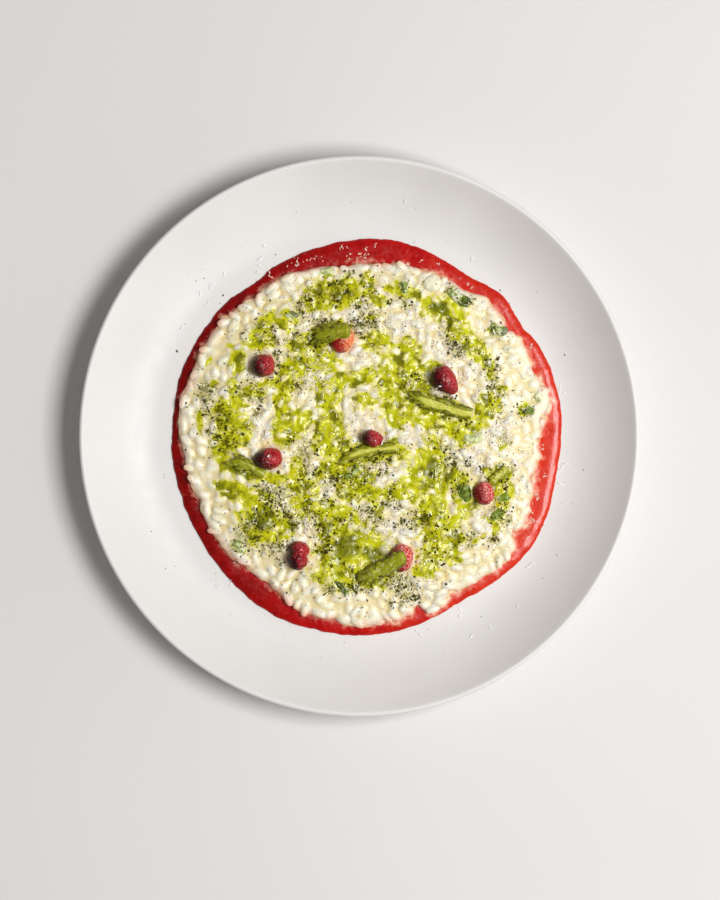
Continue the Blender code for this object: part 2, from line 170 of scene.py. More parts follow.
# Each berry's skin, how far it narrows, its crease, a small shift in millimetres, and how
# much it is squashed and widened.
BERRY_LOOKS = named("skin taper waist shift squash wide", [
    ("ripe", 0.16, False, (0.0, 0.0), 1.0, 1.0),
    ("coral", 0.2, False, (0.0, 0.7), 0.96, 1.0),
    ("ripe", 0.52, False, (0.5, -1.2), 1.0, 1.18),
    ("ripe", 0.16, False, (-0.2, 1.3), 0.84, 1.0),
    ("ripe", 0.26, False, (0.4, -0.2), 1.0, 1.0),
    ("bright", 0.16, False, (0.0, 0.0), 1.0, 1.0),
    ("ripe", 0.12, True, (0.0, 0.0), 1.0, 1.0),
    ("bright", 0.16, False, (-0.2, 0.2), 1.0, 1.0),
])
# How each tip looks: width and side of its pale core, how pale it and the end are, dark
# rims, a dark line along it, cream on it, its bud scales and their length in millimetres,
# and how much wider and longer it is than its solid.
TIP_STYLES = named("core centre pale end dark line film scales length wide longer", [
    (0.3, -0.2, 0.35, 0.3, 0.6, 0.3, 0.05, 16, (4.0, 6.5), 1.08, 0.4),
    (0.42, -0.05, 1.0, 0.8, 0.9, 0.7, 0.1, 14, (3.2, 5.0), 1.16, 0.3),
    (0.36, 0.0, 1.2, 1.0, 1.0, 0.2, 0.05, 12, (3.2, 5.0), 1.0, 0.0),
    (0.2, 0.1, 0.5, 0.3, 0.7, 0.4, 0.1, 16, (3.2, 5.4), 1.05, 0.0),
    (0.2, 0.0, 0.3, 0.2, 0.8, 0.0, 0.24, 12, (3.5, 5.0), 1.28, 2.6),
    (0.5, 0.2, 0.6, 0.6, 0.6, 0.0, 0.15, 5, (3.0, 4.4), 1.1, 0.2),
])
# How pale, how dark and how creamy each stem is, how dark its further end, and how many
# millimetres it stands higher.
STEM_LOOKS = named("pale dark film end higher", [
    (0.3, 0.7, 0.34, 0.6, 0.0),
    (0.9, 0.0, 0.75, 0.0, -0.3),
    (0.5, 0.2, 0.32, 0.8, 0.0),
    (0.2, 0.7, 0.3, 0.0, 0.0),
    (0.6, 0.1, 0.5, 0.0, 0.0),
    (0.8, 0.0, 0.24, 0.2, 0.2),
    (0.2, 0.8, 0.24, 0.0, 0.0),
    (0.7, 0.0, 0.3, 0.9, 0.0),
    (0.3, 0.4, 0.26, 0.0, 0.0),
    (0.6, 0.0, 0.2, 0.0, 0.0),
    (0.0, 0.8, 0.0, 0.2, 2.2),
    (0.0, 0.35, 0.22, 0.0, 0.3),
    (0.0, 0.3, 0.22, 0.0, 0.3),
    (0.3, 0.3, 0.2, 0.0, 0.1),
    (0.1, 0.9, 0.15, 0.0, 0.1),
])

# Where the green oil lies, as ellipses: middle and half sizes in pixels of the
# photograph, and the first half size's angle in degrees. The other spots are alike.
OIL_SPOTS = [
    (327, 274, 5, 3, 0), (328, 295, 27, 12, 5), (312, 304, 11, 8, 0), (347, 287, 10, 10, 0),
    (368, 286, 14, 6, 95), (379, 300, 8, 6, 0), (388, 288, 5, 4, 0), (408, 292, 15, 7, -25),
    (434, 307, 13, 10, -10), (450, 309, 14, 11, -20), (459, 328, 14, 10, -50),
    (476, 346, 13, 9, -40), (489, 366, 13, 5, 100), (466, 303, 5, 4, 0), (492, 327, 4, 3, 0),
    (502, 331, 5, 3, 60), (502, 389, 6, 3, 10), (524, 409, 6, 5, 20), (503, 447, 4, 2, 45),
    (265, 324, 14, 7, 70), (260, 339, 14, 8, 0), (286, 318, 11, 9, 0), (289, 331, 4, 2, 90),
    (237, 361, 15, 8, 95), (232, 385, 8, 5, 80), (207, 361, 5, 2, 45), (212, 383, 4, 3, 30),
    (254, 391, 14, 6, 20), (268, 384, 6, 5, 0), (331, 331, 17, 8, 5), (341, 321, 5, 3, 90),
    (309, 353, 20, 17, 35), (324, 362, 13, 10, 0), (291, 374, 17, 11, 35), (278, 382, 8, 4, 10),
    (283, 398, 20, 9, 85), (283, 429, 17, 11, 85), (298, 421, 12, 10, 50), (375, 340, 12, 9, 20),
    (388, 345, 6, 3, 0), (371, 316, 6, 2, 15), (410, 350, 12, 9, 100), (429, 367, 11, 5, 20),
    (400, 369, 22, 15, 0), (393, 389, 17, 13, 0), (415, 386, 15, 12, 0), (347, 380, 29, 9, 14),
    (330, 391, 12, 10, 0), (365, 402, 11, 7, 0), (328, 407, 20, 8, 92), (333, 430, 16, 14, 60),
    (334, 451, 18, 14, 0), (402, 408, 18, 16, 0), (432, 415, 26, 12, -8), (462, 430, 14, 13, 0),
    (446, 407, 13, 7, 0), (486, 410, 17, 8, 80), (480, 425, 5, 4, 0), (498, 406, 7, 4, 70),
    (362, 454, 38, 9, 3), (345, 473, 26, 14, -10), (364, 491, 22, 8, 0), (352, 489, 17, 11, 0),
    (393, 446, 8, 5, 90), (431, 456, 18, 13, 80), (432, 481, 22, 21, 0), (455, 490, 22, 15, 100),
    (461, 507, 20, 12, 70), (440, 512, 21, 17, 0), (418, 491, 14, 8, 0), (398, 491, 14, 8, 10),
    (441, 531, 20, 14, 20), (430, 551, 20, 13, 85), (455, 541, 11, 8, 30), (426, 569, 13, 8, 0),
    (447, 555, 13, 8, 0), (498, 474, 11, 9, 0), (505, 491, 10, 7, 30), (501, 508, 12, 6, 75),
    (497, 529, 6, 3, 90), (490, 518, 6, 3, 0), (479, 540, 10, 2, 30), (228, 406, 15, 9, 15),
    (234, 421, 15, 10, -20), (225, 440, 19, 11, 95), (241, 430, 16, 9, 90), (221, 456, 10, 8, 90),
    (238, 470, 18, 8, -10), (251, 474, 10, 8, 90), (233, 490, 15, 9, -20),
    (255, 500, 18, 10, -15), (262, 518, 23, 14, 0), (264, 535, 18, 9, 0), (285, 527, 10, 7, 0),
    (272, 479, 15, 5, 0), (297, 475, 17, 8, 95), (305, 491, 12, 11, 0), (302, 506, 12, 11, 0),
    (325, 511, 22, 9, 0), (343, 516, 14, 10, -20), (335, 531, 17, 14, 0), (350, 547, 32, 19, 5),
    (341, 571, 24, 15, 0), (370, 574, 28, 13, 5), (329, 581, 18, 7, -15), (393, 567, 12, 6, 80),
    (378, 511, 8, 6, 90), (237, 549, 7, 4, -40), (199, 423, 9, 3, 85),
]
# Where the cream stays bare although oil lies around it.
BARE_SPOTS = [
    (362, 420, 22, 20, 0), (412, 443, 12, 8, 0), (388, 475, 11, 13, 40), (362, 508, 9, 11, 0),
    (408, 517, 16, 12, 0), (386, 532, 13, 7, 0), (451, 499, 8, 24, 5), (295, 400, 8, 8, 0),
    (262, 470, 10, 9, 0), (262, 430, 14, 18, 0), (300, 448, 12, 8, 0), (312, 470, 4, 14, 10),
    (330, 485, 10, 12, 0), (280, 508, 12, 7, -30), (437, 345, 14, 16, 0), (360, 358, 14, 10, 0),
    (405, 325, 18, 14, 0), (350, 320, 10, 8, 0), (415, 545, 14, 20, 0), (472, 465, 14, 22, 0),
    (395, 545, 14, 10, 0),
]
# Thick dark green pools of oil. The first, left of the lowest berry, lies in that berry's
# shadow: its dark green is painted shade.
POOL_AND_SHADE_SPOTS = [
    (378, 556, 14, 9, 20), (262, 520, 16, 12, -20), (346, 548, 16, 14, 0), (300, 525, 14, 10, 0),
    (240, 470, 12, 7, 0), (370, 578, 20, 8, 0), (432, 470, 8, 14, 0), (440, 308, 12, 7, -20),
]
# Where most of the ground herb and of the grated cheese lies.
HERB_SPOTS = [
    (333, 293, 26, 13, 20), (305, 309, 16, 10, 40), (263, 330, 17, 15, 0), (205, 390, 10, 13, 0),
    (212, 412, 15, 15, 0), (228, 427, 15, 15, 0), (228, 446, 9, 10, 0), (255, 393, 9, 12, 0),
    (295, 385, 15, 10, 0), (278, 355, 18, 6, 90), (325, 326, 15, 10, 0), (316, 341, 20, 11, 0),
    (368, 320, 17, 13, 0), (370, 291, 16, 7, 90), (403, 290, 11, 7, 90), (453, 290, 8, 8, 0),
    (470, 300, 8, 5, 0), (450, 335, 14, 10, 90), (462, 349, 12, 11, 0), (490, 366, 11, 8, 90),
    (500, 331, 8, 6, 0), (526, 411, 9, 8, 0), (415, 386, 24, 15, -30), (448, 412, 18, 9, -20),
    (495, 391, 24, 8, 90), (505, 440, 8, 8, 0), (310, 475, 10, 9, 0), (305, 454, 16, 12, 90),
    (281, 490, 20, 11, 0), (268, 505, 12, 10, 90), (360, 465, 19, 14, 0), (386, 451, 14, 10, 0),
    (345, 481, 20, 15, 0), (445, 466, 20, 12, 90), (462, 485, 12, 11, 0), (500, 475, 16, 10, 0),
    (500, 506, 20, 11, 90), (250, 531, 15, 15, 0), (275, 548, 15, 10, 0), (240, 545, 12, 8, 0),
    (326, 545, 22, 12, 90), (336, 588, 16, 8, 0), (380, 580, 30, 14, 0), (405, 592, 12, 11, 0),
    (431, 556, 22, 12, 90), (465, 540, 20, 10, 0), (425, 521, 20, 10, 0), (373, 515, 14, 12, 90),
    (392, 497, 8, 8, 0), (302, 520, 30, 11, 0),
]
CHEESE_SPOTS = [
    (450, 345, 22, 20, 0), (360, 364, 12, 11, 0), (350, 320, 11, 11, 0), (298, 514, 14, 24, 20),
    (362, 512, 9, 13, 0), (398, 508, 13, 9, 0), (413, 438, 16, 10, 0), (315, 370, 16, 30, 20),
    (385, 532, 34, 13, 0), (410, 585, 30, 14, 0), (350, 420, 16, 22, 30), (405, 325, 20, 14, 0),
    (470, 460, 20, 20, 0), (330, 485, 14, 14, 0), (262, 425, 14, 20, 0), (385, 475, 12, 14, 0),
    (300, 290, 14, 12, 0), (445, 375, 26, 12, 10), (480, 520, 18, 14, 0), (500, 430, 18, 16, 0),
]
# Single bits of cheese on the sauce.
SAUCE_CHEESE = [
    (288, 264), (296, 260), (304, 258), (312, 257), (320, 255), (269, 273), (342, 246),
    (359, 253), (366, 248), (373, 245), (366, 254), (408, 263), (424, 260), (531, 346),
    (544, 386), (545, 475), (539, 496), (535, 521), (528, 539), (348, 254), (438, 262),
    (470, 281), (541, 420), (543, 447), (196, 500), (232, 560), (532, 508), (536, 470),
]
# Single curls of cheese on and beside the berries: place, length in millimetres, turn.
CURLS = [
    (382, 442, 3.6, 60), (377, 441, 2.6, 150), (253, 457, 3.2, 80), (437, 388, 2.2, 40),
    (440, 386, 1.8, 10), (268, 456, 1.8, 45), (413, 557, 3.0, 60),
]
# Single shreds of cheese and flecks of herb on the plate.
PLATE_CHEESE = [
    (211, 282), (198, 292), (222, 273), (258, 256), (258, 264), (258, 272), (208, 296),
    (178, 328), (417, 238), (469, 259), (554, 350), (560, 385), (564, 388), (567, 392),
    (569, 464), (562, 484), (565, 471), (532, 566), (461, 612), (448, 631), (490, 625),
    (419, 636), (517, 607), (217, 587), (230, 584), (214, 584), (205, 303), (262, 246),
    (476, 640), (403, 201),
]
PLATE_HERB = [
    (175, 350), (275, 253), (203, 277), (222, 294), (219, 302), (211, 321), (447, 240),
    (501, 289), (566, 354), (186, 407), (544, 579), (558, 556), (250, 583), (482, 618),
    (176, 351), (585, 470),
]


def at(px, py):
    """Place on the table of a pixel of the photograph."""
    return (px - PLATE_AT[0]) * PIXEL, (PLATE_AT[1] - py) * PIXEL


# ---------------------------------------------------------------- fields


def smooth(value, low, high):
    share = np.clip((value - low) / (high - low), 0.0, 1.0)
    return share * share * (3.0 - 2.0 * share)


NOISE_CELLS = 256
NOISE = np.random.default_rng(99).uniform(-1.0, 1.0, (NOISE_CELLS, NOISE_CELLS))


def between(field, j, i, fv, fu):
    """Value of a grid between two rows and two columns."""
    low = field[j[0], i[0]] * (1 - fu) + field[j[0], i[1]] * fu
    high = field[j[1], i[0]] * (1 - fu) + field[j[1], i[1]] * fu
    return low * (1 - fv) + high * fv


def noise(x, y, size, seed):
    """Smooth noise from -1 to 1 whose features have one size; a seed picks the place."""
    u = np.asarray(x) / size + 1000.0 + 37.3 * (seed % 89)
    v = np.asarray(y) / size + 1000.0 + 53.7 * (seed % 97)
    i, j = np.floor(u).astype(int), np.floor(v).astype(int)
    fu, fv = u - i, v - j
    fu, fv = fu * fu * (3 - 2 * fu), fv * fv * (3 - 2 * fv)
    rows, columns = ((k % NOISE_CELLS, (k + 1) % NOISE_CELLS) for k in (j, i))
    return between(NOISE, rows, columns, fv, fu)


def ripple(value, seed):
    """Smooth noise from -1 to 1 along a line."""
    return noise(value, 0 * value, 1.0, seed)


def swollen(radius, swells, bearing):
    """Radius of an uneven round outline at bearings in degrees."""
    total = np.full(np.shape(bearing), radius)
    for centre, spread, swell in swells:
        off = (np.asarray(bearing) - centre + 180) % 360 - 180
        total = total + swell * MM * np.exp(-0.5 * (off / spread) ** 2)
    return total


TURNS = np.arange(0.0, 360.05, 0.1)
RICE_EDGE = swollen(RICE_RADIUS, RICE_SWELLS, TURNS)
SAUCE_EDGE = swollen(SAUCE_RADIUS, SAUCE_SWELLS, TURNS)


def rice_edge(bearing):
    return np.interp(np.asarray(bearing) % 360, TURNS, RICE_EDGE)


def sauce_edge(bearing):
    return np.interp(np.asarray(bearing) % 360, TURNS, SAUCE_EDGE)


def rice_rim(bearing):
    """Edge of the cream: it follows the rice, but with lumps and with bays of sauce."""
    turn = np.asarray(bearing) % 360
    lumps = 0.7 * MM * ripple(turn * 0.26, 31) + 0.5 * MM * ripple(turn * 0.62, 32)
    return rice_edge(turn) + swollen(0.0, RICE_BAYS, turn) + lumps


def polar(x, y):
    """Distance and bearing in degrees from the middle of the food."""
    dx, dy = np.asarray(x) - FOOD_CENTRE.x, np.asarray(y) - FOOD_CENTRE.y
    return np.hypot(dx, dy), np.degrees(np.arctan2(dy, dx))


def rice_top(x, y, edge=rice_edge):
    """Mean height of the rice surface: a round edge, a short slope, a flat middle."""
    reach, bearing = polar(x, y)
    inward = np.maximum(0.0, edge(bearing) - reach)
    round_part = np.minimum(1.0, inward / RICE_EDGE_ROUND)
    brim = RICE_EDGE_HEIGHT * np.sqrt(1.0 - (1.0 - round_part) ** 2)
    slope = np.minimum(1.0, inward / RICE_SLOPE)
    rise = (RICE_HEIGHT - RICE_EDGE_HEIGHT) * slope * slope * (3.0 - 2.0 * slope)
    return RICE_FLOOR + brim + rise


def spots_near(spots, x, y):
    """How far inside the nearest elliptical spot points lie: 1 at its middle, 0 at its rim."""
    best = np.full(np.shape(x), -9.0)
    for px, py, long, short, turn in spots:
        cx, cy = at(px, py)
        c, s = math.cos(math.radians(turn)), math.sin(math.radians(turn))
        u = ((x - cx) * c + (y - cy) * s) / (long * PIXEL)
        v = (-(x - cx) * s + (y - cy) * c) / (short * PIXEL)
        best = np.maximum(best, 1.0 - np.sqrt(u * u + v * v))
    return best


class Raster:
    """A square grid over the food, for heights and covers."""

    STEP = 0.35 * MM
    HALF = 101.0 * MM

    def __init__(self):
        line = np.arange(-self.HALF, self.HALF + self.STEP, self.STEP)
        self.x0, self.y0 = FOOD_CENTRE.x - self.HALF, FOOD_CENTRE.y - self.HALF
        self.count = len(line)
        self.x, self.y = np.meshgrid(line + FOOD_CENTRE.x, line + FOOD_CENTRE.y)

    def noise(self, size, seed):
        return noise(self.x, self.y, size, seed)

    def near(self, spots):
        return spots_near(spots, self.x, self.y)

    def window(self, x, y, reach):
        """Rows and columns within reach of a point."""
        i = int((x - self.x0) / self.STEP)
        j = int((y - self.y0) / self.STEP)
        n = int(reach / self.STEP) + 2
        rows = slice(max(j - n, 0), min(j + n, self.count))
        return rows, slice(max(i - n, 0), min(i + n, self.count))

    def sample(self, field, x, y):
        u = np.clip((np.asarray(x) - self.x0) / self.STEP, 0, self.count - 1.001)
        v = np.clip((np.asarray(y) - self.y0) / self.STEP, 0, self.count - 1.001)
        i, j = u.astype(int), v.astype(int)
        return between(field, (j, j + 1), (i, i + 1), v - j, u - i)

    def blur(self, field, spread):
        """Gaussian blur."""
        n = int(3 * spread / self.STEP)
        kernel = np.exp(-0.5 * (np.arange(-n, n + 1) * self.STEP / spread) ** 2)
        kernel /= kernel.sum()
        out = np.pad(field, n, mode="edge")
        for axis in (1, 0):
            out = np.apply_along_axis(np.convolve, axis, out, kernel, "valid")
        return out


def smooth_max(a, b, blend):
    """The higher of two surfaces, with a fillet between them."""
    near = np.maximum(blend - np.abs(a - b), 0.0) / blend
    return np.maximum(a, b) + near * near * blend * 0.25


# ---------------------------------------------------------------- materials


class Paint:
    """Builds the nodes of one material round its Principled shader.

    soft is the weight, radius and scale of the subsurface, coat the weight and roughness
    of the coat.
    """

    def __init__(self, name, ior=None, soft=None, coat=None):
        self.material = bpy.data.materials.new(name)
        self.material.use_nodes = True
        self.tree = self.material.node_tree
        self.shader = self.tree.nodes["Principled BSDF"]
        self.place = self.node("TexCoord").outputs["Object"]
        settings = {"IOR": ior} if ior else {}
        if soft:
            for key, value in zip(("Weight", "Radius", "Scale"), soft):
                settings["Subsurface " + key] = value
        if coat:
            settings["Coat Weight"], settings["Coat Roughness"] = coat
        for key, value in settings.items():
            self.shader.inputs[key].default_value = value

    def node(self, kind, inputs=None, **settings):
        node = self.tree.nodes.new("ShaderNode" + kind)
        for key, value in settings.items():
            setattr(node, key, value)
        for key, value in (inputs or {}).items():
            self.feed(node.inputs[key], value)
        return node

    def feed(self, socket, value):
        if isinstance(value, bpy.types.NodeSocket):
            self.tree.links.new(value, socket)
        else:
            socket.default_value = value

    def surface(self, colour, rough, normal=None):
        """Feed the shader and hand back the material."""
        for name, value in (("Base Color", colour), ("Roughness", rough), ("Normal", normal)):
            if value is not None:
                self.feed(self.shader.inputs[name], value)
        return self.material

    def value(self, name):
        """A number kept at the mesh's points."""
        return self.node("Attribute", attribute_name=name).outputs["Fac"]

    def noise(self, size, detail=2.0, rough=0.5):
        inputs = {"Vector": self.place, "Scale": 1.0 / size, "Detail": detail, "Roughness": rough}
        return self.node("TexNoise", inputs).outputs["Fac"]

    def mottle(self, size, detail=2.0, rough=0.5, span=(0.0, 1.0)):
        """Noise whose middle part is spread over a span."""
        return self.scale(self.noise(size, detail, rough), 0.3, 0.7, *span)

    def cells(self, size, feature="F1"):
        inputs = {"Vector": self.place, "Scale": 1.0 / size}
        return self.node("TexVoronoi", inputs, feature=feature).outputs["Distance"]

    def scale(self, value, low, high, to_low=0.0, to_high=1.0, kind="LINEAR"):
        ends = zip(("From Min", "From Max", "To Min", "To Max"), (low, high, to_low, to_high))
        inputs = {"Value": value, **dict(ends)}
        return self.node("MapRange", inputs, interpolation_type=kind).outputs["Result"]

    def math(self, kind, a, b):
        return self.node("Math", {0: a, 1: b}, operation=kind).outputs[0]

    def plus(self, a, b):
        return self.math("ADD", a, b)

    def times(self, a, b):
        return self.math("MULTIPLY", a, b)

    def mix(self, share, a, b):
        node = self.node("Mix", data_type="RGBA")
        for index, item in ((0, share), (6, a), (7, b)):
            self.feed(node.inputs[index], (*item, 1.0) if isinstance(item, tuple) else item)
        return node.outputs[2]

    def bump(self, height, distance, under=None):
        inputs = {"Height": height, "Distance": distance, "Strength": 1.0}
        if under:
            inputs["Normal"] = under
        return self.node("Bump", inputs).outputs["Normal"]

    def relief(self, size, height, detail=3, rough=0.5, under=None):
        """Bumps of one size and height."""
        return self.bump(self.noise(size, detail, rough), height, under)


def porcelain():
    p = Paint("porcelain_glaze", 1.46)
    colour = p.mix(p.mottle(45 * MM, 3), (0.745, 0.732, 0.722), (0.785, 0.772, 0.762))
    speck = p.scale(p.noise(0.9 * MM, 2), 0.74, 0.80, 0.0, 0.25)
    colour = p.mix(speck, colour, (0.6, 0.57, 0.54))
    return p.surface(colour, p.mottle(6 * MM, 4, 0.5, (0.42, 0.52)), p.relief(3.0 * MM, 0.02 * MM))


def red_sauce():
    """Deep red away from the lamp and painted brighter and more orange towards it on the right
    (painted light, carried by the value thin), with cream drawn in.
    """
    p = Paint("red_sauce_gloss", 1.36, (0.1, (1.0, 0.10, 0.05), 1.2 * MM), (0.12, 0.12))
    # thin carries painted light: it rises towards the lamp, not where the layer is thinner.
    thin = p.plus(p.value("thin"), p.mottle(8 * MM, 4, 0.6, (-0.16, 0.16)))
    colour = p.mix(p.scale(thin, 0.0, 0.55), (0.17, 0.0004, 0.0003), (0.46, 0.001, 0.0006))
    colour = p.mix(p.scale(thin, 0.5, 1.0), colour, (0.66, 0.030, 0.006))
    drawn = p.plus(p.value("mixed"), p.mottle(3.2 * MM, 4, 0.55, (-0.36, 0.36)))
    colour = p.mix(p.scale(drawn, 0.30, 0.95, 0.0, 0.8), colour, (0.84, 0.40, 0.28))
    colour = p.mix(p.scale(drawn, 0.75, 1.05, 0.0, 0.7), colour, (0.93, 0.78, 0.60))
    return p.surface(colour, p.mottle(2 * MM, 3, 0.5, (0.18, 0.34)), p.relief(2.2 * MM, 0.12 * MM))


def dressed(p, base):
    """Food under grated cheese, green oil and the finest herb."""
    oil, dark_pool_and_shade, snow, dusty = (p.value(name) for name in ("oil", "dark_pool_and_shade", "snow", "dust"))
    tint = p.scale(p.noise(2.8 * MM, 4, 0.6), 0.36, 0.60, 0.1, 0.9)
    base = p.mix(p.times(p.scale(dusty, 0.2, 1.1), tint), base, (0.52, 0.50, 0.12))
    # Oil: a thin film, a full one, pools, and darker blots in both.
    uneven = p.times(p.mottle(4.4 * MM, 4, 0.6, (-0.46, 0.44)), p.scale(oil, 0.0, 0.25, 0.1, 1.0))
    patchy = p.plus(oil, uneven)
    thin = p.mix(p.scale(patchy, 0.02, 0.40), base, (0.84, 0.77, 0.25))
    full = p.mix(p.scale(patchy, 0.34, 0.66), thin, (0.70, 0.69, 0.008))
    pooled = p.mix(p.scale(patchy, 0.70, 1.08), full, (0.46, 0.465, 0.002))
    blot = p.times(p.scale(patchy, 0.36, 0.62), p.scale(p.noise(6.0 * MM, 4, 0.6), 0.51, 0.61))
    blotted = p.mix(p.times(blot, 0.85), pooled, (0.15, 0.15, 0.001))
    # Darker green where oil pools thick, and painted shade in the lowest berry's shadow.
    dark = p.mix(p.scale(dark_pool_and_shade, 0.1, 0.9, 0.0, 0.75), blotted, (0.12, 0.14, 0.002))
    # Powder of cheese, less of it under oil and herb, then the finest herb.
    powder = p.scale(p.plus(p.noise(3.6 * MM, 5, 0.62), p.times(snow, 0.20)), 0.63, 0.75)
    lying_there = p.times(p.scale(snow, 0.0, 0.3), p.scale(dusty, 0.1, 0.8, 1.0, 0.35))
    share = p.times(p.times(powder, lying_there), p.scale(oil, 0.3, 1.0, 0.85, 0.2))
    white = p.mix(share, dark, (1.0, 0.92, 0.77))
    dust = p.scale(p.plus(p.noise(1.2 * MM, 4, 0.66), p.times(dusty, 0.15)), 0.62, 0.72)
    return p.mix(p.times(dust, 0.7), white, (0.17, 0.14, 0.006))


def fluffy(p, under):
    """Fine flakes of cheese as bumps, only where they lie."""
    lying_there = p.scale(p.value("snow"), 0.0, 0.8, 0.1, 1.0)
    return p.bump(p.times(p.noise(2.4 * MM, 4, 0.55), lying_there), 0.24 * MM, under)


def cream():
    p = Paint("cream", 1.42, (0.75, (1.0, 0.84, 0.52), 2.6 * MM), (0.15, 0.12))
    tone = p.mottle(6 * MM, 4, 0.6)
    # low: darker and yellower, for the heap's low places, where cream lies thicker and shade is
    # painted; high: whiter, for its backs, where light is painted.
    low = p.mix(tone, (0.80, 0.69, 0.34), (0.90, 0.78, 0.48))
    high = p.mix(tone, (0.96, 0.865, 0.65), (1.0, 0.92, 0.78))
    hollow_shade = p.plus(p.value("hollow_shade"), p.mottle(3.4 * MM, 3, 0.6, (-0.2, 0.2)))
    base = p.mix(p.scale(hollow_shade, 0.24, 0.80), high, low)
    base = p.mix(p.value("blush"), base, (0.76, 0.22, 0.13))
    gloss = p.scale(p.value("oil"), 0.1, 0.8, 0.0, 0.12)
    rough = p.math("SUBTRACT", p.mottle(1.6 * MM, 3, 0.5, (0.20, 0.44)), gloss)
    return p.surface(dressed(p, base), rough, fluffy(p, p.relief(2.6 * MM, 0.32 * MM)))


def grain():
    p = Paint("rice_grain", 1.44, (0.6, (1.0, 0.84, 0.58), 2.2 * MM), (0.10, 0.18))
    base = p.mix(p.mottle(3.0 * MM, 3), (0.98, 0.89, 0.70), (1.0, 0.93, 0.82))
    base = p.mix(p.value("shade"), base, (0.90, 0.79, 0.46))
    base = p.mix(p.value("blush"), base, (0.78, 0.30, 0.20))
    rough = p.mottle(1.2 * MM, 3, 0.5, (0.26, 0.48))
    return p.surface(dressed(p, base), rough, fluffy(p, p.relief(1.8 * MM, 0.18 * MM, 3, 0.55)))


def green_oil():
    p = Paint("green_oil", 1.46, (0.3, (0.8, 1.0, 0.05), 1.0 * MM))
    colour = dressed(p, (0.86, 0.77, 0.42))
    normal = p.relief(1.0 * MM, 0.06 * MM, under=p.relief(2.6 * MM, 0.30 * MM))
    return p.surface(colour, p.mottle(1.5 * MM, 2, 0.5, (0.10, 0.28)), normal)


def cheese():
    p = Paint("grated_cheese", 1.4, (0.3, (1.0, 0.85, 0.65), 1.0 * MM))
    colour = p.mix(p.mottle(2.5 * MM, 3), (1.0, 0.88, 0.68), (1.0, 0.92, 0.78))
    colour = p.mix(p.value("bleached"), colour, (1.0, 0.985, 0.965))
    colour = p.mix(p.value("oil"), colour, (0.80, 0.74, 0.22))
    colour = p.mix(p.value("pink"), colour, (0.85, 0.30, 0.24))
    return p.surface(colour, p.mottle(0.6 * MM, 2, 0.5, (0.38, 0.6)), p.relief(0.3 * MM, 0.05 * MM))


def herb():
    p = Paint("ground_herb", 1.25)
    colour = p.mix(p.value("shade"), (0.036, 0.034, 0.001), (0.17, 0.17, 0.005))
    colour = p.mix(p.scale(p.noise(0.3 * MM, 2), 0.4, 0.7), colour, (0.06, 0.045, 0.002))
    normal = p.relief(0.15 * MM, 0.05 * MM, 2)
    return p.surface(colour, p.mottle(0.4 * MM, 2, 0.5, (0.6, 0.85)), normal)


def berry_skin(name, dark, bright, ridge, net_share):
    """Painted shade on the berry's side away from the lamp and painted light on the lamp's side.

    The net of ridges between the seeds, and the seeds, take a painted highlight on the lit
    side, and the seed pits are painted darker as shade.
    """
    p = Paint(name, 1.36, (0.05, (1.0, 0.1, 0.1), 0.8 * MM), (0.12, 0.14))
    tone = p.plus(p.value("painted_light_side"), p.mottle(2.6 * MM, 4, 0.6, (-0.3, 0.3)))
    colour = p.mix(p.scale(tone, 0.0, 1.0, kind="SMOOTHSTEP"), dark, bright)
    net = p.scale(p.cells(1.5 * MM, "DISTANCE_TO_EDGE"), 0.05, 0.20, 1.0, 0.0)
    # The ridges take a painted highlight, only on the side towards the lamp.
    lit = p.times(p.scale(p.noise(2.2 * MM, 3), 0.36, 0.56), p.scale(p.value("painted_light_side"), 0.15, 0.6))
    colour = p.mix(p.times(p.times(net, lit), net_share), colour, ridge)
    # The seed pits are painted darker, as shade in the recesses.
    pit_shade = tuple(0.4 * v for v in dark)
    colour = p.mix(p.scale(p.value("pit"), 0.3, 1.0, 0.0, 0.5), colour, pit_shade)
    # The seeds take the same painted highlight on the lit side.
    colour = p.mix(p.times(p.value("seed"), p.times(lit, 0.5)), colour, ridge)
    normal = p.bump(p.cells(1.5 * MM), 0.45 * MM, p.relief(0.9 * MM, 0.16 * MM))
    return p.surface(colour, p.mottle(1.0 * MM, 3, 0.5, (0.14, 0.32)), normal)


def asparagus(name, skin, pale, dark):
    """Green skin whose points say where it is pale, dark or under a film of cream."""
    p = Paint(name, 1.42, (0.2, (0.8, 1.0, 0.2), 1.2 * MM), (0.2, 0.18))

    def spread(key, low, high, size, gain):
        value = p.plus(p.value(key), p.mottle(size, 4, 0.62, (-gain, gain)))
        return p.scale(value, low, high)

    colour = p.mix(spread("pale", 0.25, 0.9, 1.8 * MM, 0.42), skin, pale)
    colour = p.mix(p.times(spread("dark", 0.3, 0.9, 1.3 * MM, 0.35), 0.9), colour, dark)
    film = p.times(spread("film", 0.35, 0.65, 1.6 * MM, 0.35), 0.9)
    colour = p.mix(film, colour, (0.92, 0.88, 0.66))
    dust = p.scale(p.noise(1.0 * MM, 3, 0.6), 0.64, 0.70, 0.0, 0.75)
    colour = p.mix(dust, colour, (0.06, 0.07, 0.006))
    normal = p.relief(0.9 * MM, 0.25 * MM)
    return p.surface(colour, p.mottle(1.0 * MM, 3, 0.5, (0.24, 0.44)), normal)


def table():
    p = Paint("pale_table")
    colour = p.mix(p.mottle(400 * MM, 2), (0.74, 0.735, 0.73), (0.77, 0.765, 0.76))
    return p.surface(colour, p.mottle(80 * MM, 2, 0.5, (0.65, 0.75)))


# ---------------------------------------------------------------- meshes


def link_object(name, data):
    made = bpy.data.objects.new(name, data)
    bpy.context.scene.collection.objects.link(made)
    return made


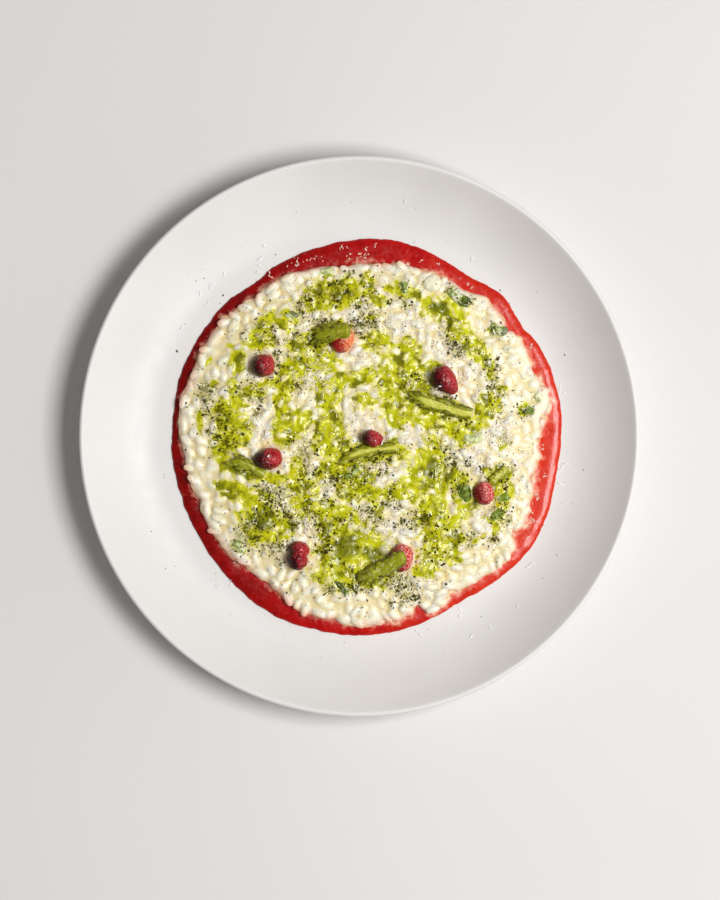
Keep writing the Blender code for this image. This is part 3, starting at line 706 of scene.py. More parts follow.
def piece(name, points, faces, material, replaces=(), values=None):
    """Make a smooth-shaded piece that rides on the plate, with values at its points."""
    mesh = bpy.data.meshes.new(name)
    mesh.from_pydata(np.asarray(points).tolist(), [], np.asarray(faces).tolist())
    for key, data in (values or {}).items():
        kept = mesh.attributes.new(key, "FLOAT", "POINT")
        kept.data.foreach_set("value", np.asarray(data, np.float32))
    mesh.shade_smooth()
    mesh.materials.append(material)
    obj = link_object(name, mesh)
    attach(obj, "root")
    if replaces:
        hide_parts(*replaces)
    return points, faces


def skin(rings, first_pole, last_pole):
    """Points and triangles of a closed skin over a stack of rings."""
    count, sides = rings.shape[:2]
    points = np.vstack([rings.reshape(-1, 3), [first_pole], [last_pole]])
    i = np.arange(sides)
    j = (i + 1) % sides
    faces = [np.stack([j, i, np.full(sides, count * sides)], 1)]
    for row in range(count - 1):
        a, b = row * sides, (row + 1) * sides
        faces.append(np.stack([a + i, a + j, b + j], 1))
        faces.append(np.stack([a + i, b + j, b + i], 1))
    last = (count - 1) * sides
    faces.append(np.stack([last + i, last + j, np.full(sides, count * sides + 1)], 1))
    return points, np.vstack(faces)


def join(parts):
    """Join several (points, faces) into one."""
    points, faces, start = [], [], 0
    for some_points, some_faces in parts:
        points.append(some_points)
        faces.append(some_faces + start)
        start += len(some_points)
    return np.vstack(points), np.vstack(faces)


def turned(yaw, pitch=0.0, roll=0.0):
    """Rotation matrix as numpy: roll about the length, pitch, then yaw."""
    lean = Matrix.Rotation(yaw, 3, "Z") @ Matrix.Rotation(-pitch, 3, "Y")
    return np.array(lean @ Matrix.Rotation(roll, 3, "X"))


def plate_profile():
    """Half outline of the plate from its middle underneath, over the lip, to its middle."""
    foot_inner = FOOT_RADIUS - FOOT_WIDTH
    soft = 0.6 * MM
    points = [
        (30 * MM, FOOT_RECESS), (60 * MM, FOOT_RECESS),
        (foot_inner - FOOT_RECESS - soft, FOOT_RECESS),
        (foot_inner - FOOT_RECESS + soft, FOOT_RECESS - 0.5 * soft),
        (foot_inner - soft, 0.7 * soft), (foot_inner + 0.4 * soft, 0.0),
        (FOOT_RADIUS - soft, 0.0), (FOOT_RADIUS - 0.2 * soft, 0.25 * soft),
        (FOOT_RADIUS + 0.3 * soft, soft),
        (FOOT_RADIUS + FOOT_BLEND - soft, WELL_HEIGHT - WALL_THICKNESS - 0.8 * soft),
        (FOOT_RADIUS + FOOT_BLEND + soft, WELL_HEIGHT - WALL_THICKNESS),
    ]
    lip = LIP_THICKNESS / 2
    outward = Vector((LIP_SLOPE, -1.0)).normalized()
    along = Vector((1.0, LIP_SLOPE)).normalized()
    run = PLATE_RADIUS - lip * (1.0 + outward.x) - WELL_RADIUS
    rise = PLATE_HEIGHT - lip * (1.0 + outward.y) - WELL_HEIGHT
    shares = [i / WALL_STEPS for i in range(WALL_STEPS + 1)]
    top = [(WELL_RADIUS + run * share, WELL_HEIGHT + rise * share * share) for share in shares]
    for (radius, height), share in zip(top[:-1], shares):
        thickness = WALL_THICKNESS + (LIP_THICKNESS - WALL_THICKNESS) * share
        normal = Vector((LIP_SLOPE * share, -1.0)).normalized()
        points.append((radius + normal.x * thickness, height + normal.y * thickness))
    middle = Vector(top[-1]) + outward * lip
    for i in range(LIP_STEPS + 1):
        turn = math.pi * i / LIP_STEPS
        point = middle + outward * lip * math.cos(turn) + along * lip * math.sin(turn)
        points.append(tuple(point))
    points.extend(reversed(top[:-1]))
    points.extend([(80 * MM, WELL_HEIGHT), (50 * MM, WELL_HEIGHT), (20 * MM, WELL_HEIGHT)])
    return points


def make_plate():
    profile = np.array(plate_profile())
    side = np.arange(PLATE_SIDES) / PLATE_SIDES * TAU
    rings = np.stack([profile[:, 0, None] * np.cos(side), profile[:, 0, None] * np.sin(side),
                      np.repeat(profile[:, 1, None], PLATE_SIDES, 1)], -1)
    points, faces = skin(rings, (0, 0, FOOT_RECESS), (0, 0, WELL_HEIGHT))
    piece("plate_glazed", points, faces, porcelain(), ["plate"])
    return points, faces


def plate_top(x, y):
    """Height of the plate's upper surface."""
    run = PLATE_RADIUS - WELL_RADIUS - LIP_INSET
    share = np.clip((np.hypot(x, y) - WELL_RADIUS) / run, 0.0, 1.0)
    return WELL_HEIGHT + WALL_RISE * share * share


SAUCE_SIDES = 720
SAUCE_RIM, SAUCE_RIM_STEPS = 5.0 * MM, 12


def make_sauce():
    """A round of sauce with a meniscus for an edge, scalloped a little."""
    bearing = np.arange(SAUCE_SIDES) * 360.0 / SAUCE_SIDES
    turn = np.radians(bearing)
    scallops = 0.35 * MM * ripple(bearing * 0.35, 3) + 0.2 * MM * ripple(bearing, 4)
    edge = sauce_edge(bearing) + scallops
    # Distance from the edge and share of the sauce's height, row by row.
    rows = [(1.4 * MM, 0.0), (0.35 * MM, 0.0)]
    for i in range(SAUCE_RIM_STEPS + 1):
        a = i / SAUCE_RIM_STEPS * math.pi / 2
        rows.append((SAUCE_RIM * (1 - math.cos(a)), 0.12 + 0.88 * math.sin(a)))
    rows += [(inset * MM, 1.0) for inset in (5.6, 6.4, 7.6, 9.2, 11.2, 14, 18, 30, 55)]
    rings = []
    for inset, height in rows:
        x = FOOD_CENTRE.x + (edge - inset) * np.cos(turn)
        y = FOOD_CENTRE.y + (edge - inset) * np.sin(turn)
        wave = 0.16 * MM * noise(x, y, 7 * MM, 5) * smooth(inset, 0.0, 3 * MM)
        z = plate_top(x, y) + (SAUCE_TOP - WELL_HEIGHT) * height + wave
        rings.append(np.stack([x, y, z], -1))
    middle = FOOD_CENTRE.xy
    points, faces = skin(np.array(rings), (*middle, WELL_HEIGHT), (*middle, SAUCE_TOP))
    # The sauce is painted brighter and more orange towards the lamp on the right, painted light
    # kept in thin; cream is drawn into it along the rice, reaching further on that side.
    reach, angle = polar(points[:, 0], points[:, 1])
    drawn = noise(points[:, 0], points[:, 1], 7 * MM, 6)
    thin = 0.5 + 0.5 * np.cos(np.radians(angle + 10))
    near = 1 - np.clip((reach - rice_rim(angle)) / ((2.2 + 2.2 * thin + 2.2 * drawn) * MM), 0, 1)
    mixed = near * (0.55 + 0.5 * np.clip(drawn + 0.3, 0, 1)) * (0.7 + 0.3 * thin)
    values = {"mixed": mixed, "thin": thin}
    piece("sauce_pool", points, faces, red_sauce(), ["sauce"], values)
    return points, faces


# ---------------------------------------------------------------- berries and asparagus


def pose(spot, bearing, tilt, z):
    """A frame whose Z axis leans by tilt from upright towards a bearing."""
    turn, lean = math.radians(bearing), math.radians(tilt)
    turned_over = Matrix.Rotation(turn, 4, "Z") @ Matrix.Rotation(lean, 4, "Y")
    return np.array(Matrix.Translation((spot[0] * MM, spot[1] * MM, z)) @ turned_over)


def placed(frame, points):
    return points @ frame[:3, :3].T + frame[:3, 3]


def berry_centre(spec):
    width = spec["size"][0] * MM
    x, y = (v * MM for v in spec["at"])
    height = float(rice_top(x, y)) + (spec["proud"] - 0.5) * width
    return max(height, RICE_FLOOR + BED + 0.5 * width)


def berry_radius(turn, width, taper):
    return 0.5 * width * np.sin(turn) ** 0.8 * (1.0 - taper * (1.0 - np.cos(turn)) / 2)


BERRY_SIDES, BERRY_ROWS = 84, 52
# Seeds on a berry 12 mm wide and 13 mm long, and half a seed's width, height and length
# in millimetres.
BERRY_SEEDS = 210
SEED_HALF = (0.17, 0.12, 0.27)


def crease(z):
    """Depth of the crease round a berry's middle, as where two of them grew together."""
    return 1.3 * MM * np.exp(-((z + 0.5 * MM) / (1.3 * MM)) ** 2)


def berry_mesh(spec, draw, look):
    """Flesh that swells between sunk seeds, with the seeds as small drops."""
    width, length = (v * MM for v in spec["size"])
    width *= look["wide"]
    half = np.array([0.5 * width, 0.5 * width, 0.5 * length])

    def on_skin(turn, side):
        radius = berry_radius(turn, width, look["taper"])
        z = -0.5 * length * np.cos(turn)
        return np.stack([radius * np.cos(side), radius * np.sin(side), z], -1)

    # Seeds lie on a spiral round the berry.
    count = int(BERRY_SEEDS * width * length / (12 * MM * 13 * MM))
    share = (np.arange(count) + 0.5) / count
    seed_turn = np.arccos(1 - 2 * share) + draw.normal(0, 0.03, count)
    seed_side = np.arange(count) * math.pi * (3 - math.sqrt(5)) + draw.normal(0, 0.06, count)
    seeds = on_skin(np.clip(seed_turn, 0.12, math.pi - 0.12), seed_side)

    turn = (np.arange(1, BERRY_ROWS) / BERRY_ROWS) * math.pi
    side = np.arange(BERRY_SIDES) / BERRY_SIDES * TAU
    rings = on_skin(*np.meshgrid(turn, side, indexing="ij"))
    points, faces = skin(rings, (0, 0, -half[2]), (0, 0, half[2]))
    normal = points / half ** 2
    normal /= np.linalg.norm(normal, axis=1)[:, None]
    far = np.sort(np.linalg.norm(points[:, None] - seeds[None], axis=2), axis=1)
    pit = np.exp(-(far[:, 0] / (0.36 * MM)) ** 2)
    ridge = 1 - np.clip((far[:, 1] - far[:, 0]) / (0.55 * MM), 0, 1)
    swell = -0.16 * MM * pit + 0.08 * MM * ridge
    uneven = noise(points[:, 0] + 2 * points[:, 2], points[:, 1], 4 * MM, int(draw.integers(999)))
    swell += 0.35 * MM * uneven
    if look["waist"]:
        swell -= crease(points[:, 2])
    points = points + normal * swell[:, None]
    frame = pose(spec["at"], spec["bearing"], spec["tilt"], berry_centre(spec))
    fit = np.array([1.0, look["squash"], 1.0])
    shift = np.array([*look["shift"], 0.0]) * MM + frame[:3, 3] * (1 - fit)
    points = placed(frame, points) * fit + shift

    parts = [(points, faces)]
    turn, side = np.meshgrid(np.arange(1, 4) / 4 * math.pi, np.arange(7) / 7 * TAU, indexing="ij")
    drop = np.stack([np.sin(turn) * np.cos(side), np.sin(turn) * np.sin(side), -np.cos(turn)], -1)
    drop_points, drop_faces = skin(drop, (0, 0, -1), (0, 0, 1))
    # Seeds that would lie under the rice are left out.
    lowest = float(rice_top(spec["at"][0] * MM, spec["at"][1] * MM)) - 1.0 * MM
    for seed in seeds:
        out = seed / half ** 2
        out /= np.linalg.norm(out)
        along = np.array([0, 0, 1.0]) - out * out[2]
        along /= np.linalg.norm(along)
        axes = np.stack([np.cross(along, out), out, along], 1)
        middle = seed + out * (-0.06 * MM)
        if look["waist"]:
            middle = middle - out * crease(seed[2])
        there = placed(frame, (drop_points * SEED_HALF * MM) @ axes.T + middle) * fit + shift
        if there[:, 2].max() > lowest:
            parts.append((there, drop_faces))
    joined, all_faces = join(parts)
    extra = len(joined) - len(points)
    off = (joined - frame[:3, 3]) / (0.5 * width)
    # The side value rises towards the lamp on the right; the skin paints light and shade from it.
    values = {"pit": np.concatenate([pit, np.zeros(extra)]),
              "painted_light_side": 0.42 + 0.62 * off[:, 0] + 0.22 * off[:, 1],
              "seed": np.concatenate([np.zeros(len(points)), np.ones(extra)])}
    return joined, all_faces, values


def leaf(length, width, thick, lift):
    """A pointed scale that runs along X from its root and lifts at its point."""
    share = np.linspace(0.03, 0.98, 8)
    half = 0.5 * width * np.sin(math.pi * share ** 0.7) ** 0.8
    s, a = np.meshgrid(share, np.arange(8) / 8 * TAU, indexing="ij")
    wide = half[:, None] * np.ones(8)
    z = wide / width * thick * np.sin(a) + lift * s * s - 0.5 * np.cos(a) ** 2 * wide * 0.4
    return skin(np.stack([s * length, wide * np.cos(a), z], -1), (0, 0, 0), (length, 0, lift))


# Share of the width along a tip, from its point to its butt.
TIP_WIDTHS = np.array([(0.0, 0.06), (0.05, 0.36), (0.14, 0.68), (0.24, 0.86), (0.34, 1.0),
                       (0.48, 0.94), (0.62, 0.90), (0.80, 0.86), (0.93, 0.84), (1.0, 0.66)])
TIP_ROWS, TIP_SIDES = 64, 40


def tip_mesh(spec, draw, style):
    """A spear's end: an uneven body, cut flat if it is halved, with bud scales along it."""
    start, end = (Vector((*(v * MM for v in spec[key]), 0.0)) for key in ("tip", "butt"))
    rise = [height * MM for height in spec["rise"]]
    half_width, depth = style["wide"] * spec["size"][0] * MM / 2, spec["size"][1] * MM
    halved = spec["halved"]
    along = (end - start).normalized()
    end = end + along * style["longer"] * MM
    side = Vector((-along.y, along.x, 0.0))
    z_start = float(rice_top(start.x, start.y)) + rise[0]
    z_end = float(rice_top(end.x, end.y)) + rise[1]
    slope = Vector(((end - start).length, z_end - z_start)).normalized()
    forward = along * slope.x + Vector((0, 0, slope.y))
    normal = Vector((0, 0, slope.x)) - along * slope.y
    roll = Matrix.Rotation(math.radians(spec["roll"]), 3, forward)
    across, upward = np.array(roll @ side), np.array(roll @ normal)
    forward = np.array(forward)
    origin = np.array(start) + np.array((0, 0, z_start))
    span = (end - start).length / slope.x
    drop = 0.0 if halved else depth / 2
    seed = int(draw.integers(999))

    share = np.linspace(0.01, 1.0, TIP_ROWS)
    width = np.interp(share, TIP_WIDTHS[:, 0], TIP_WIDTHS[:, 1])
    if not halved:
        # The butt rounds over.
        over = 0.84 * np.sqrt(np.maximum(1 - 0.8 * ((share - 0.9) / 0.1) ** 2, 0))
        width = np.where(share > 0.9, over, width)
    angle = np.arange(TIP_SIDES) / TIP_SIDES * TAU
    if halved:
        # Half the ring runs round the skin below, half lies on the cut face.
        low = angle < math.pi
        u = np.where(low, np.cos(angle), -1 + 2 * (angle - math.pi) / math.pi)
        v = np.where(low, -np.sin(angle), 0.34 * (1 - u * u))
        high = depth
    else:
        u, v = np.cos(angle), -np.sin(angle)
        low = np.ones(TIP_SIDES, bool)
        high = depth / 2
    s, k = np.meshgrid(share, np.arange(TIP_SIDES), indexing="ij")
    uu, vv, ll = u[k], v[k], low[k]
    uneven = 0.12 * noise(s * 7, uu * 1.5, 1.0, seed)
    ww = width[:, None] * (1 + uneven + 0.06 * noise(s * 19, uu * 3, 1.0, seed + 1))
    middle = origin + forward * (share * span)[:, None]
    bow = spec["bow"] * MM * 4 * share * (1 - share) + 0.35 * MM * ripple(share * 4, seed + 2)
    middle = middle + across * bow[:, None] - upward * drop
    rings = middle[:, None, :] + across * (uu * half_width * ww)[..., None]
    rough = 0.28 * MM * noise(uu * 2.2 + 3.0, s * 9.0, 1.0, seed + 3) * np.sin(s * math.pi)
    line = -0.30 * MM * np.exp(-((uu - 0.5) / 0.10) ** 2) * (~ll) * smooth(s, 0.2, 0.5)
    rings = rings + upward * (vv * high * ww + rough + line)[..., None]
    points, faces = skin(rings, middle[0] - forward * 0.5 * MM, middle[-1] + forward * 0.2 * MM)
    # Points know how pale and how dark they are and how much cream lies on them.
    core = style["core"] + 0.10 * ripple(s * 6, seed + 4)
    centre = style["centre"] + 0.10 * ripple(s * 4, seed + 5)
    pale = smooth(core - np.abs(uu - centre), -0.14, 0.14) * smooth(s, 0.10, 0.30) * (vv > 0)
    pale = np.maximum(pale * style["pale"], smooth(s, 0.975, 0.99) * style["end"])
    vein = style["line"] * np.exp(-((uu - 0.5) / 0.12) ** 2) * (~ll)
    dark = style["dark"] * smooth(np.abs(uu), 0.55, 0.85) + vein
    dark = np.clip(dark + 0.5 * np.clip(1 - 4 * s, 0, 1), 0, 1)
    film = style["film"] * smooth(vv, 0.0, 0.4) * smooth(1 - s, 0.05, 0.2)
    data = [np.stack([np.append(f.ravel(), [f[0, 0], f[-1, 0]]) for f in (pale, dark, film)], -1)]
    parts = [(points, faces)]
    for number in range(style["scales"]):
        place = 0.10 + 0.80 * (number + draw.random()) / style["scales"]
        edge = draw.uniform(0.35, 0.9) * (1 if number % 2 else -1)
        row = min(int(place * TIP_ROWS), TIP_ROWS - 1)
        length = draw.uniform(*style["length"]) * MM * (1.15 - 0.4 * place)
        round_share = 0.34 * (1 - edge * edge) if halved else math.sqrt(1 - edge * edge)
        top = round_share * high * width[row]
        root = middle[row] + across * edge * half_width * width[row] + upward * (top + 0.05 * MM)
        splay = edge * draw.uniform(0.1, 0.45)
        aim = -forward * math.cos(splay) + across * math.sin(splay)
        up = upward + across * edge * 0.5
        up -= aim * (up @ aim)
        up /= np.linalg.norm(up)
        axes = np.stack([aim, np.cross(up, aim), up], 1)
        wide, lift = draw.uniform(0.34, 0.5) * length, draw.uniform(-0.4, 0.3) * MM
        shape, shape_faces = leaf(length, wide, 0.8 * MM, lift)
        parts.append((shape @ axes.T + root, shape_faces))
        tone = draw.random()
        tip_dark = 0.75 * smooth(shape[:, 0] / length, 0.5, 1.0)
        data.append(np.stack([np.full(len(shape), 0.45 * tone * style["pale"]),
                              np.clip(0.75 * (1 - tone) + tip_dark, 0, 1),
                              np.full(len(shape), 0.4 * style["film"])], -1))
    points, faces = join(parts)
    data = np.vstack(data)
    return points, faces, {"pale": data[:, 0], "dark": data[:, 1], "film": data[:, 2]}


def stem_centre(spec):
    diameter, length = (v * MM for v in spec["size"])
    lean = math.radians(spec["tilt"])
    x, y = (v * MM for v in spec["at"])
    reach = 0.5 * (length * math.cos(lean) + diameter * math.sin(lean))
    return max(float(rice_top(x, y)) + spec["proud"] * MM - reach, RICE_FLOOR + BED + reach)


def stem_mesh(spec, draw, look):
    """A short cut stem, bent and uneven, whose ends may be paler or darker."""
    diameter, length = (v * MM for v in spec["size"])
    soft = 0.16 * diameter
    half = 0.5 * length
    rows = [(-half, 0.34 * diameter), (-half + 0.06 * diameter, 0.43 * diameter),
            (-half + soft, 0.49 * diameter)]
    rows += [(v, 0.5 * diameter) for v in np.linspace(-half + 1.6 * soft, half - 1.6 * soft, 11)]
    rows += [(-v, r) for v, r in reversed(rows[:3])]
    sides = 40
    side = np.arange(sides) / sides * TAU
    rings = []
    seed = int(draw.integers(999))
    bend = draw.normal(0, 0.10) * length
    squash = draw.uniform(0.84, 1.0)
    for height, radius in rows:
        lump = noise(1.6 * np.cos(side) + 5, 1.6 * np.sin(side) + height / (2.5 * MM), 1.0, seed)
        r = radius * (1 + 0.02 * np.sin(7 * side) + 0.16 * lump)
        shift = bend * ((height / half) ** 2 - 0.4)
        z = height + 0.12 * diameter * noise(np.cos(side), np.sin(side), 1.0, seed + 2)
        rings.append(np.stack([r * np.cos(side) * squash, r * np.sin(side) + shift, z], -1))
    points, faces = skin(np.array(rings), (0, bend * 0.6, -half), (0, bend * 0.6, half))
    share = points[:, 2] / half
    ends = np.clip((np.abs(share) - 0.86) / 0.08, 0, 1)
    turn = np.arctan2(points[:, 1], points[:, 0])
    streak = noise(turn * 1.5, points[:, 2] / (5 * MM), 1.0, seed + 1)
    pale = look["pale"] + 0.35 * streak + 0.35 * ends
    dark = look["dark"] * (0.75 + 0.4 * streak) * (1 - 0.5 * ends)
    dark = dark + look["end"] * smooth(share, 0.1, 0.8)
    film = look["film"] + 0.3 * noise(points[:, 0], points[:, 2], 2.5 * MM, seed + 3)
    frame = pose(spec["at"], spec["bearing"], spec["tilt"], stem_centre(spec))
    values = {"pale": np.clip(pale, 0, 1), "dark": np.clip(dark, 0, 1), "film": np.clip(film, 0, 1)}
    return placed(frame, points) + np.array((0.0, 0.0, look["higher"] * MM)), faces, values


# ---------------------------------------------------------------- rice


# Half a grain's length, width and height, and how many throws are tried, the first ones
# along the heap's edge.
GRAIN_HALF = (3.75 * MM, 2.1 * MM, 1.65 * MM)
GRAIN_TRIES, RIM_TRIES = 26000, 2500
# A grain is three discs in a row, and this far they keep from toppings and other grains.
DISCS_ALONG = np.array([[-2.0], [0.0], [2.0]]) * MM
TOPPING_GAP, GRAIN_GAP = 1.5 * MM, 2.8 * MM
MOST_DISCS = 9000
# How far the cream's own level lies below the mean height of the rice.
CREAM_SINK = 1.25 * MM
# Points of the cream's skin: along its edge, rows inward from there, then a lattice.
RIM_SIDES = 1100
RIM_INSETS = np.array([0.0, 0.08, 0.28, 0.6, 1.05]) * MM
LATTICE = 0.6 * MM


def scatter_grains(draw):
    """Throw grains over the heap, first along its edge, and keep them off the toppings."""
    kept_off = [(*(v * MM for v in b["at"]), 0.42 * b["size"][0] * MM) for b in BERRIES]
    for tip in TIPS:
        a, b = np.array(tip["tip"]) * MM, np.array(tip["butt"]) * MM
        reach = 0.4 * tip["size"][0] * MM
        kept_off += [(*(a + (b - a) * f), reach) for f in np.linspace(0.1, 1, 7)]
    for stem in STEMS:
        if stem["tilt"] > 45:
            turn = math.radians(stem["bearing"])
            step = np.array((math.cos(turn), math.sin(turn))) * stem["size"][1] * MM
            middle = np.array(stem["at"]) * MM
            reach = 0.35 * stem["size"][0] * MM
            kept_off += [(*(middle + step * f), reach) for f in (-0.4, 0, 0.4)]
        else:
            kept_off.append((*(v * MM for v in stem["at"]), 0.4 * stem["size"][0] * MM))
    kept_off = np.array(kept_off)
    spots, used, grains = np.zeros((MOST_DISCS, 2)), 0, []
    for attempt in range(GRAIN_TRIES):
        bearing = draw.uniform(0, 360)
        yaw = draw.uniform(0, math.pi)
        rim = attempt < RIM_TRIES
        inset = draw.uniform(1.2, 3.0) * MM if rim else 2.6 * MM
        reach = float(rice_rim(bearing)) - inset
        radius = reach if rim else reach * math.sqrt(draw.random())
        centre = np.array([FOOD_CENTRE.x + radius * math.cos(math.radians(bearing)),
                           FOOD_CENTRE.y + radius * math.sin(math.radians(bearing))])
        axis = np.array([math.cos(yaw), math.sin(yaw)])
        discs = centre + DISCS_ALONG * axis
        ends = centre + np.array([[-3.75], [3.75]]) * MM * axis
        far, angle = polar(ends[:, 0], ends[:, 1])
        if np.any(far > rice_rim(angle) + 0.9 * MM):
            continue
        off = np.linalg.norm(discs[:, None] - kept_off[None, :, :2], axis=2) - kept_off[None, :, 2]
        if off.min() < TOPPING_GAP:
            continue
        if used and np.linalg.norm(discs[:, None] - spots[None, :used], axis=2).min() < GRAIN_GAP:
            continue
        spots[used:used + 3] = discs
        used += 3
        size = np.array(GRAIN_HALF) * draw.normal(1.0, 0.07, 3)
        mean = float(rice_top(*centre, rice_rim))
        proud = draw.uniform(-0.9, 0.55) * MM
        if rim:
            proud = draw.uniform(-0.2, 1.1) * MM
        z = max(mean + proud - size[2], SAUCE_TOP + 0.6 * size[2])
        coated = draw.random() < (0.45 if rim else 0.62)
        grains.append({"at": centre, "z": z, "yaw": yaw, "pitch": draw.normal(0, 0.14),
                       "size": size, "coated": coated, "film": draw.uniform(0.1, 0.6) * MM,
                       "roll": draw.uniform(0, TAU), "rim": rim})
    return grains


def grain_backs(raster, item):
    """Where one grain's upper side lies on the raster."""
    x, y = item["at"]
    window = raster.window(x, y, 1.15 * item["size"][0])
    dx, dy = raster.x[window] - x, raster.y[window] - y
    c, s = math.cos(item["yaw"]), math.sin(item["yaw"])
    u, v = dx * c + dy * s, -dx * s + dy * c
    a, b, h = item["size"]
    inside = 1 - np.abs(u / a) ** 2.3 - np.abs(v / b) ** 2
    top = item["z"] + u * math.tan(item["pitch"]) + h * np.sqrt(np.maximum(inside, 0.0))
    return window, np.where(inside > 0, top, -1.0)


def grain_meshes(grains, draw):
    rows, sides = 9, 12
    turn = np.arange(1, rows) / rows * math.pi
    side = np.arange(sides) / sides * TAU
    t, s = np.meshgrid(turn, side, indexing="ij")
    parts, shade = [], []
    for item in grains:
        if item["coated"]:
            continue
        a, b, h = item["size"]
        fat = np.sin(t) ** 0.82
        bend = 0.10 * b * np.cos(t) ** 2 * draw.choice([-1, 1])
        lump = 1 + 0.05 * noise(3 * np.cos(t) + 1, s * 1.2, 1.0, int(draw.integers(9999)))
        y, z = b * fat * np.cos(s) * lump + bend, h * fat * np.sin(s) * lump
        rings = np.stack([-a * np.cos(t), y, z], -1)
        points, faces = skin(rings, (-a, 0.10 * b, 0), (a, 0.10 * b, 0))
        m = turned(item["yaw"], item["pitch"], item["roll"] * 0.06)
        points = points @ m.T + np.array([*item["at"], item["z"]])
        parts.append((points, faces))
        shade.append(np.full(len(points), draw.uniform(0, 0.4 if item["rim"] else 0.6)))
    points, faces = join(parts)
    return points, faces, np.concatenate(shade)


def oil_cover(x, y):
    """How much green oil lies at points, from 0 to 1."""
    wide, fine = noise(x, y, 5 * MM, 21), noise(x, y, 2.0 * MM, 22)
    spot = spots_near(OIL_SPOTS, x + wide * 0.8 * MM, y + fine * 0.8 * MM)
    bare = spots_near(BARE_SPOTS, x + fine * 0.8 * MM, y + wide * 0.8 * MM)
    cover = spot + 0.20 * wide + 0.30 * fine
    cover = np.minimum(cover, 0.34 - 1.1 * bare + 0.3 * fine)
    return smooth(cover, -0.60, 0.26)


def stem_collar(raster, spec):
    """Cream that rises round a stem: where it lies and how high."""
    x, y = (v * MM for v in spec["at"])
    window = raster.window(x, y, 11 * MM)
    turn, lean = math.radians(spec["bearing"]), math.sin(math.radians(spec["tilt"]))
    dx, dy = raster.x[window] - x, raster.y[window] - y
    along = dx * math.cos(turn) + dy * math.sin(turn)
    far = np.abs(along) - 0.5 * spec["size"][1] * MM * lean
    wide = np.abs(-dx * math.sin(turn) + dy * math.cos(turn)) - 0.5 * spec["size"][0] * MM
    out = np.maximum(np.maximum(far, wide), 0)
    uneven = 0.5 + 0.5 * noise(raster.x[window], raster.y[window], 2.6 * MM, 16)
    collar = rice_top(x, y) + spec["proud"] * MM - (0.5 + 1.7 * uneven) * MM - out * 0.7
    return window, np.where(out < 2.4 * MM, collar, -1.0)


def cream_surface(raster, grains):
    """Heights of the cream, and of the grains that stay bare of it."""
    mean = rice_top(raster.x, raster.y, rice_rim)
    wobble = 0.45 * MM * raster.noise(8 * MM, 11) + 0.22 * MM * raster.noise(3 * MM, 12)
    level = mean - CREAM_SINK + wobble
    bare = np.full(level.shape, -1.0)
    for item in grains:
        window, top = grain_backs(raster, item)
        film = item["film"]
        sunk = top + 0.2 * film if item["coated"] else top - 0.4 * film
        patch = smooth_max(level[window], sunk, 1.7 * MM)
        level[window] = np.where(top > 0, patch, level[window])
        if not item["coated"]:
            bare[window] = np.maximum(bare[window], top)
    for spec in STEMS:
        window, collar = stem_collar(raster, spec)
        level[window] = smooth_max(level[window], collar, 1.2 * MM)
    return raster.blur(level, 0.45 * MM), bare


def covers(raster, top, oil, snow):
    """Where oil, sauce, herb dust and powdered cheese lie, and where painted light goes:
    shade low in the heap and light on its backs, shade in the lowest berry's shadow on the
    oil, and a pink painted reflection round each berry.
    """
    reach, bearing = polar(raster.x, raster.y)
    inward = rice_rim(bearing) - reach
    # Oil runs off the backs of the grains into the hollows.
    relief = np.clip((raster.blur(top, 2.6 * MM) - top) / (0.8 * MM), -1.2, 1.0)
    snow = np.maximum(snow, 0.42 * smooth(inward, 6 * MM, 16 * MM)) * (1 - 0.7 * oil)
    dark_pool_and_shade = smooth(raster.near(POOL_AND_SHADE_SPOTS) + 0.25 * raster.noise(3 * MM, 23), -0.2, 0.55)
    # Sauce tints the edge pink; the pink ring round each berry is a painted reflection of the
    # berry's red.
    blush = 1 - np.clip(inward / (2.0 * MM + 1.6 * MM * (1 + raster.noise(6 * MM, 24))), 0, 1)
    blush = blush ** 1.4 * (0.25 + 0.45 * smooth(raster.noise(14 * MM, 25), -0.3, 0.6))
    for spec in BERRIES:
        x, y = (v * MM for v in spec["at"])
        far = np.hypot(raster.x - x, raster.y - y) - 0.5 * spec["size"][0] * MM
        ring = 0.24 * np.exp(-(np.maximum(far, 0) / (1.5 * MM)) ** 2)
        blush = np.maximum(blush, ring * (0.6 + 0.5 * raster.noise(4 * MM, 26)))
    dust = smooth(raster.near(HERB_SPOTS) + 0.3 * raster.noise(4 * MM, 27), -0.5, 0.7)
    for spot in herb_clumps():
        window = raster.window(*spot, 6 * MM)
        far = (raster.x[window] - spot[0]) ** 2 + (raster.y[window] - spot[1]) ** 2
        dust[window] = np.maximum(dust[window], 1.25 * np.exp(-far / (2.0 * MM) ** 2))
    # The low places' value paints the cream darker below its neighbours (painted shade) and whiter
    # above them (painted light).
    return {"oil": np.clip(oil * (0.80 + 0.40 * relief), 0, 1), "dark_pool_and_shade": dark_pool_and_shade, "blush": blush,
            "dust": dust, "hollow_shade": 0.5 + 0.5 * np.clip(relief, -1, 1), "snow": snow}


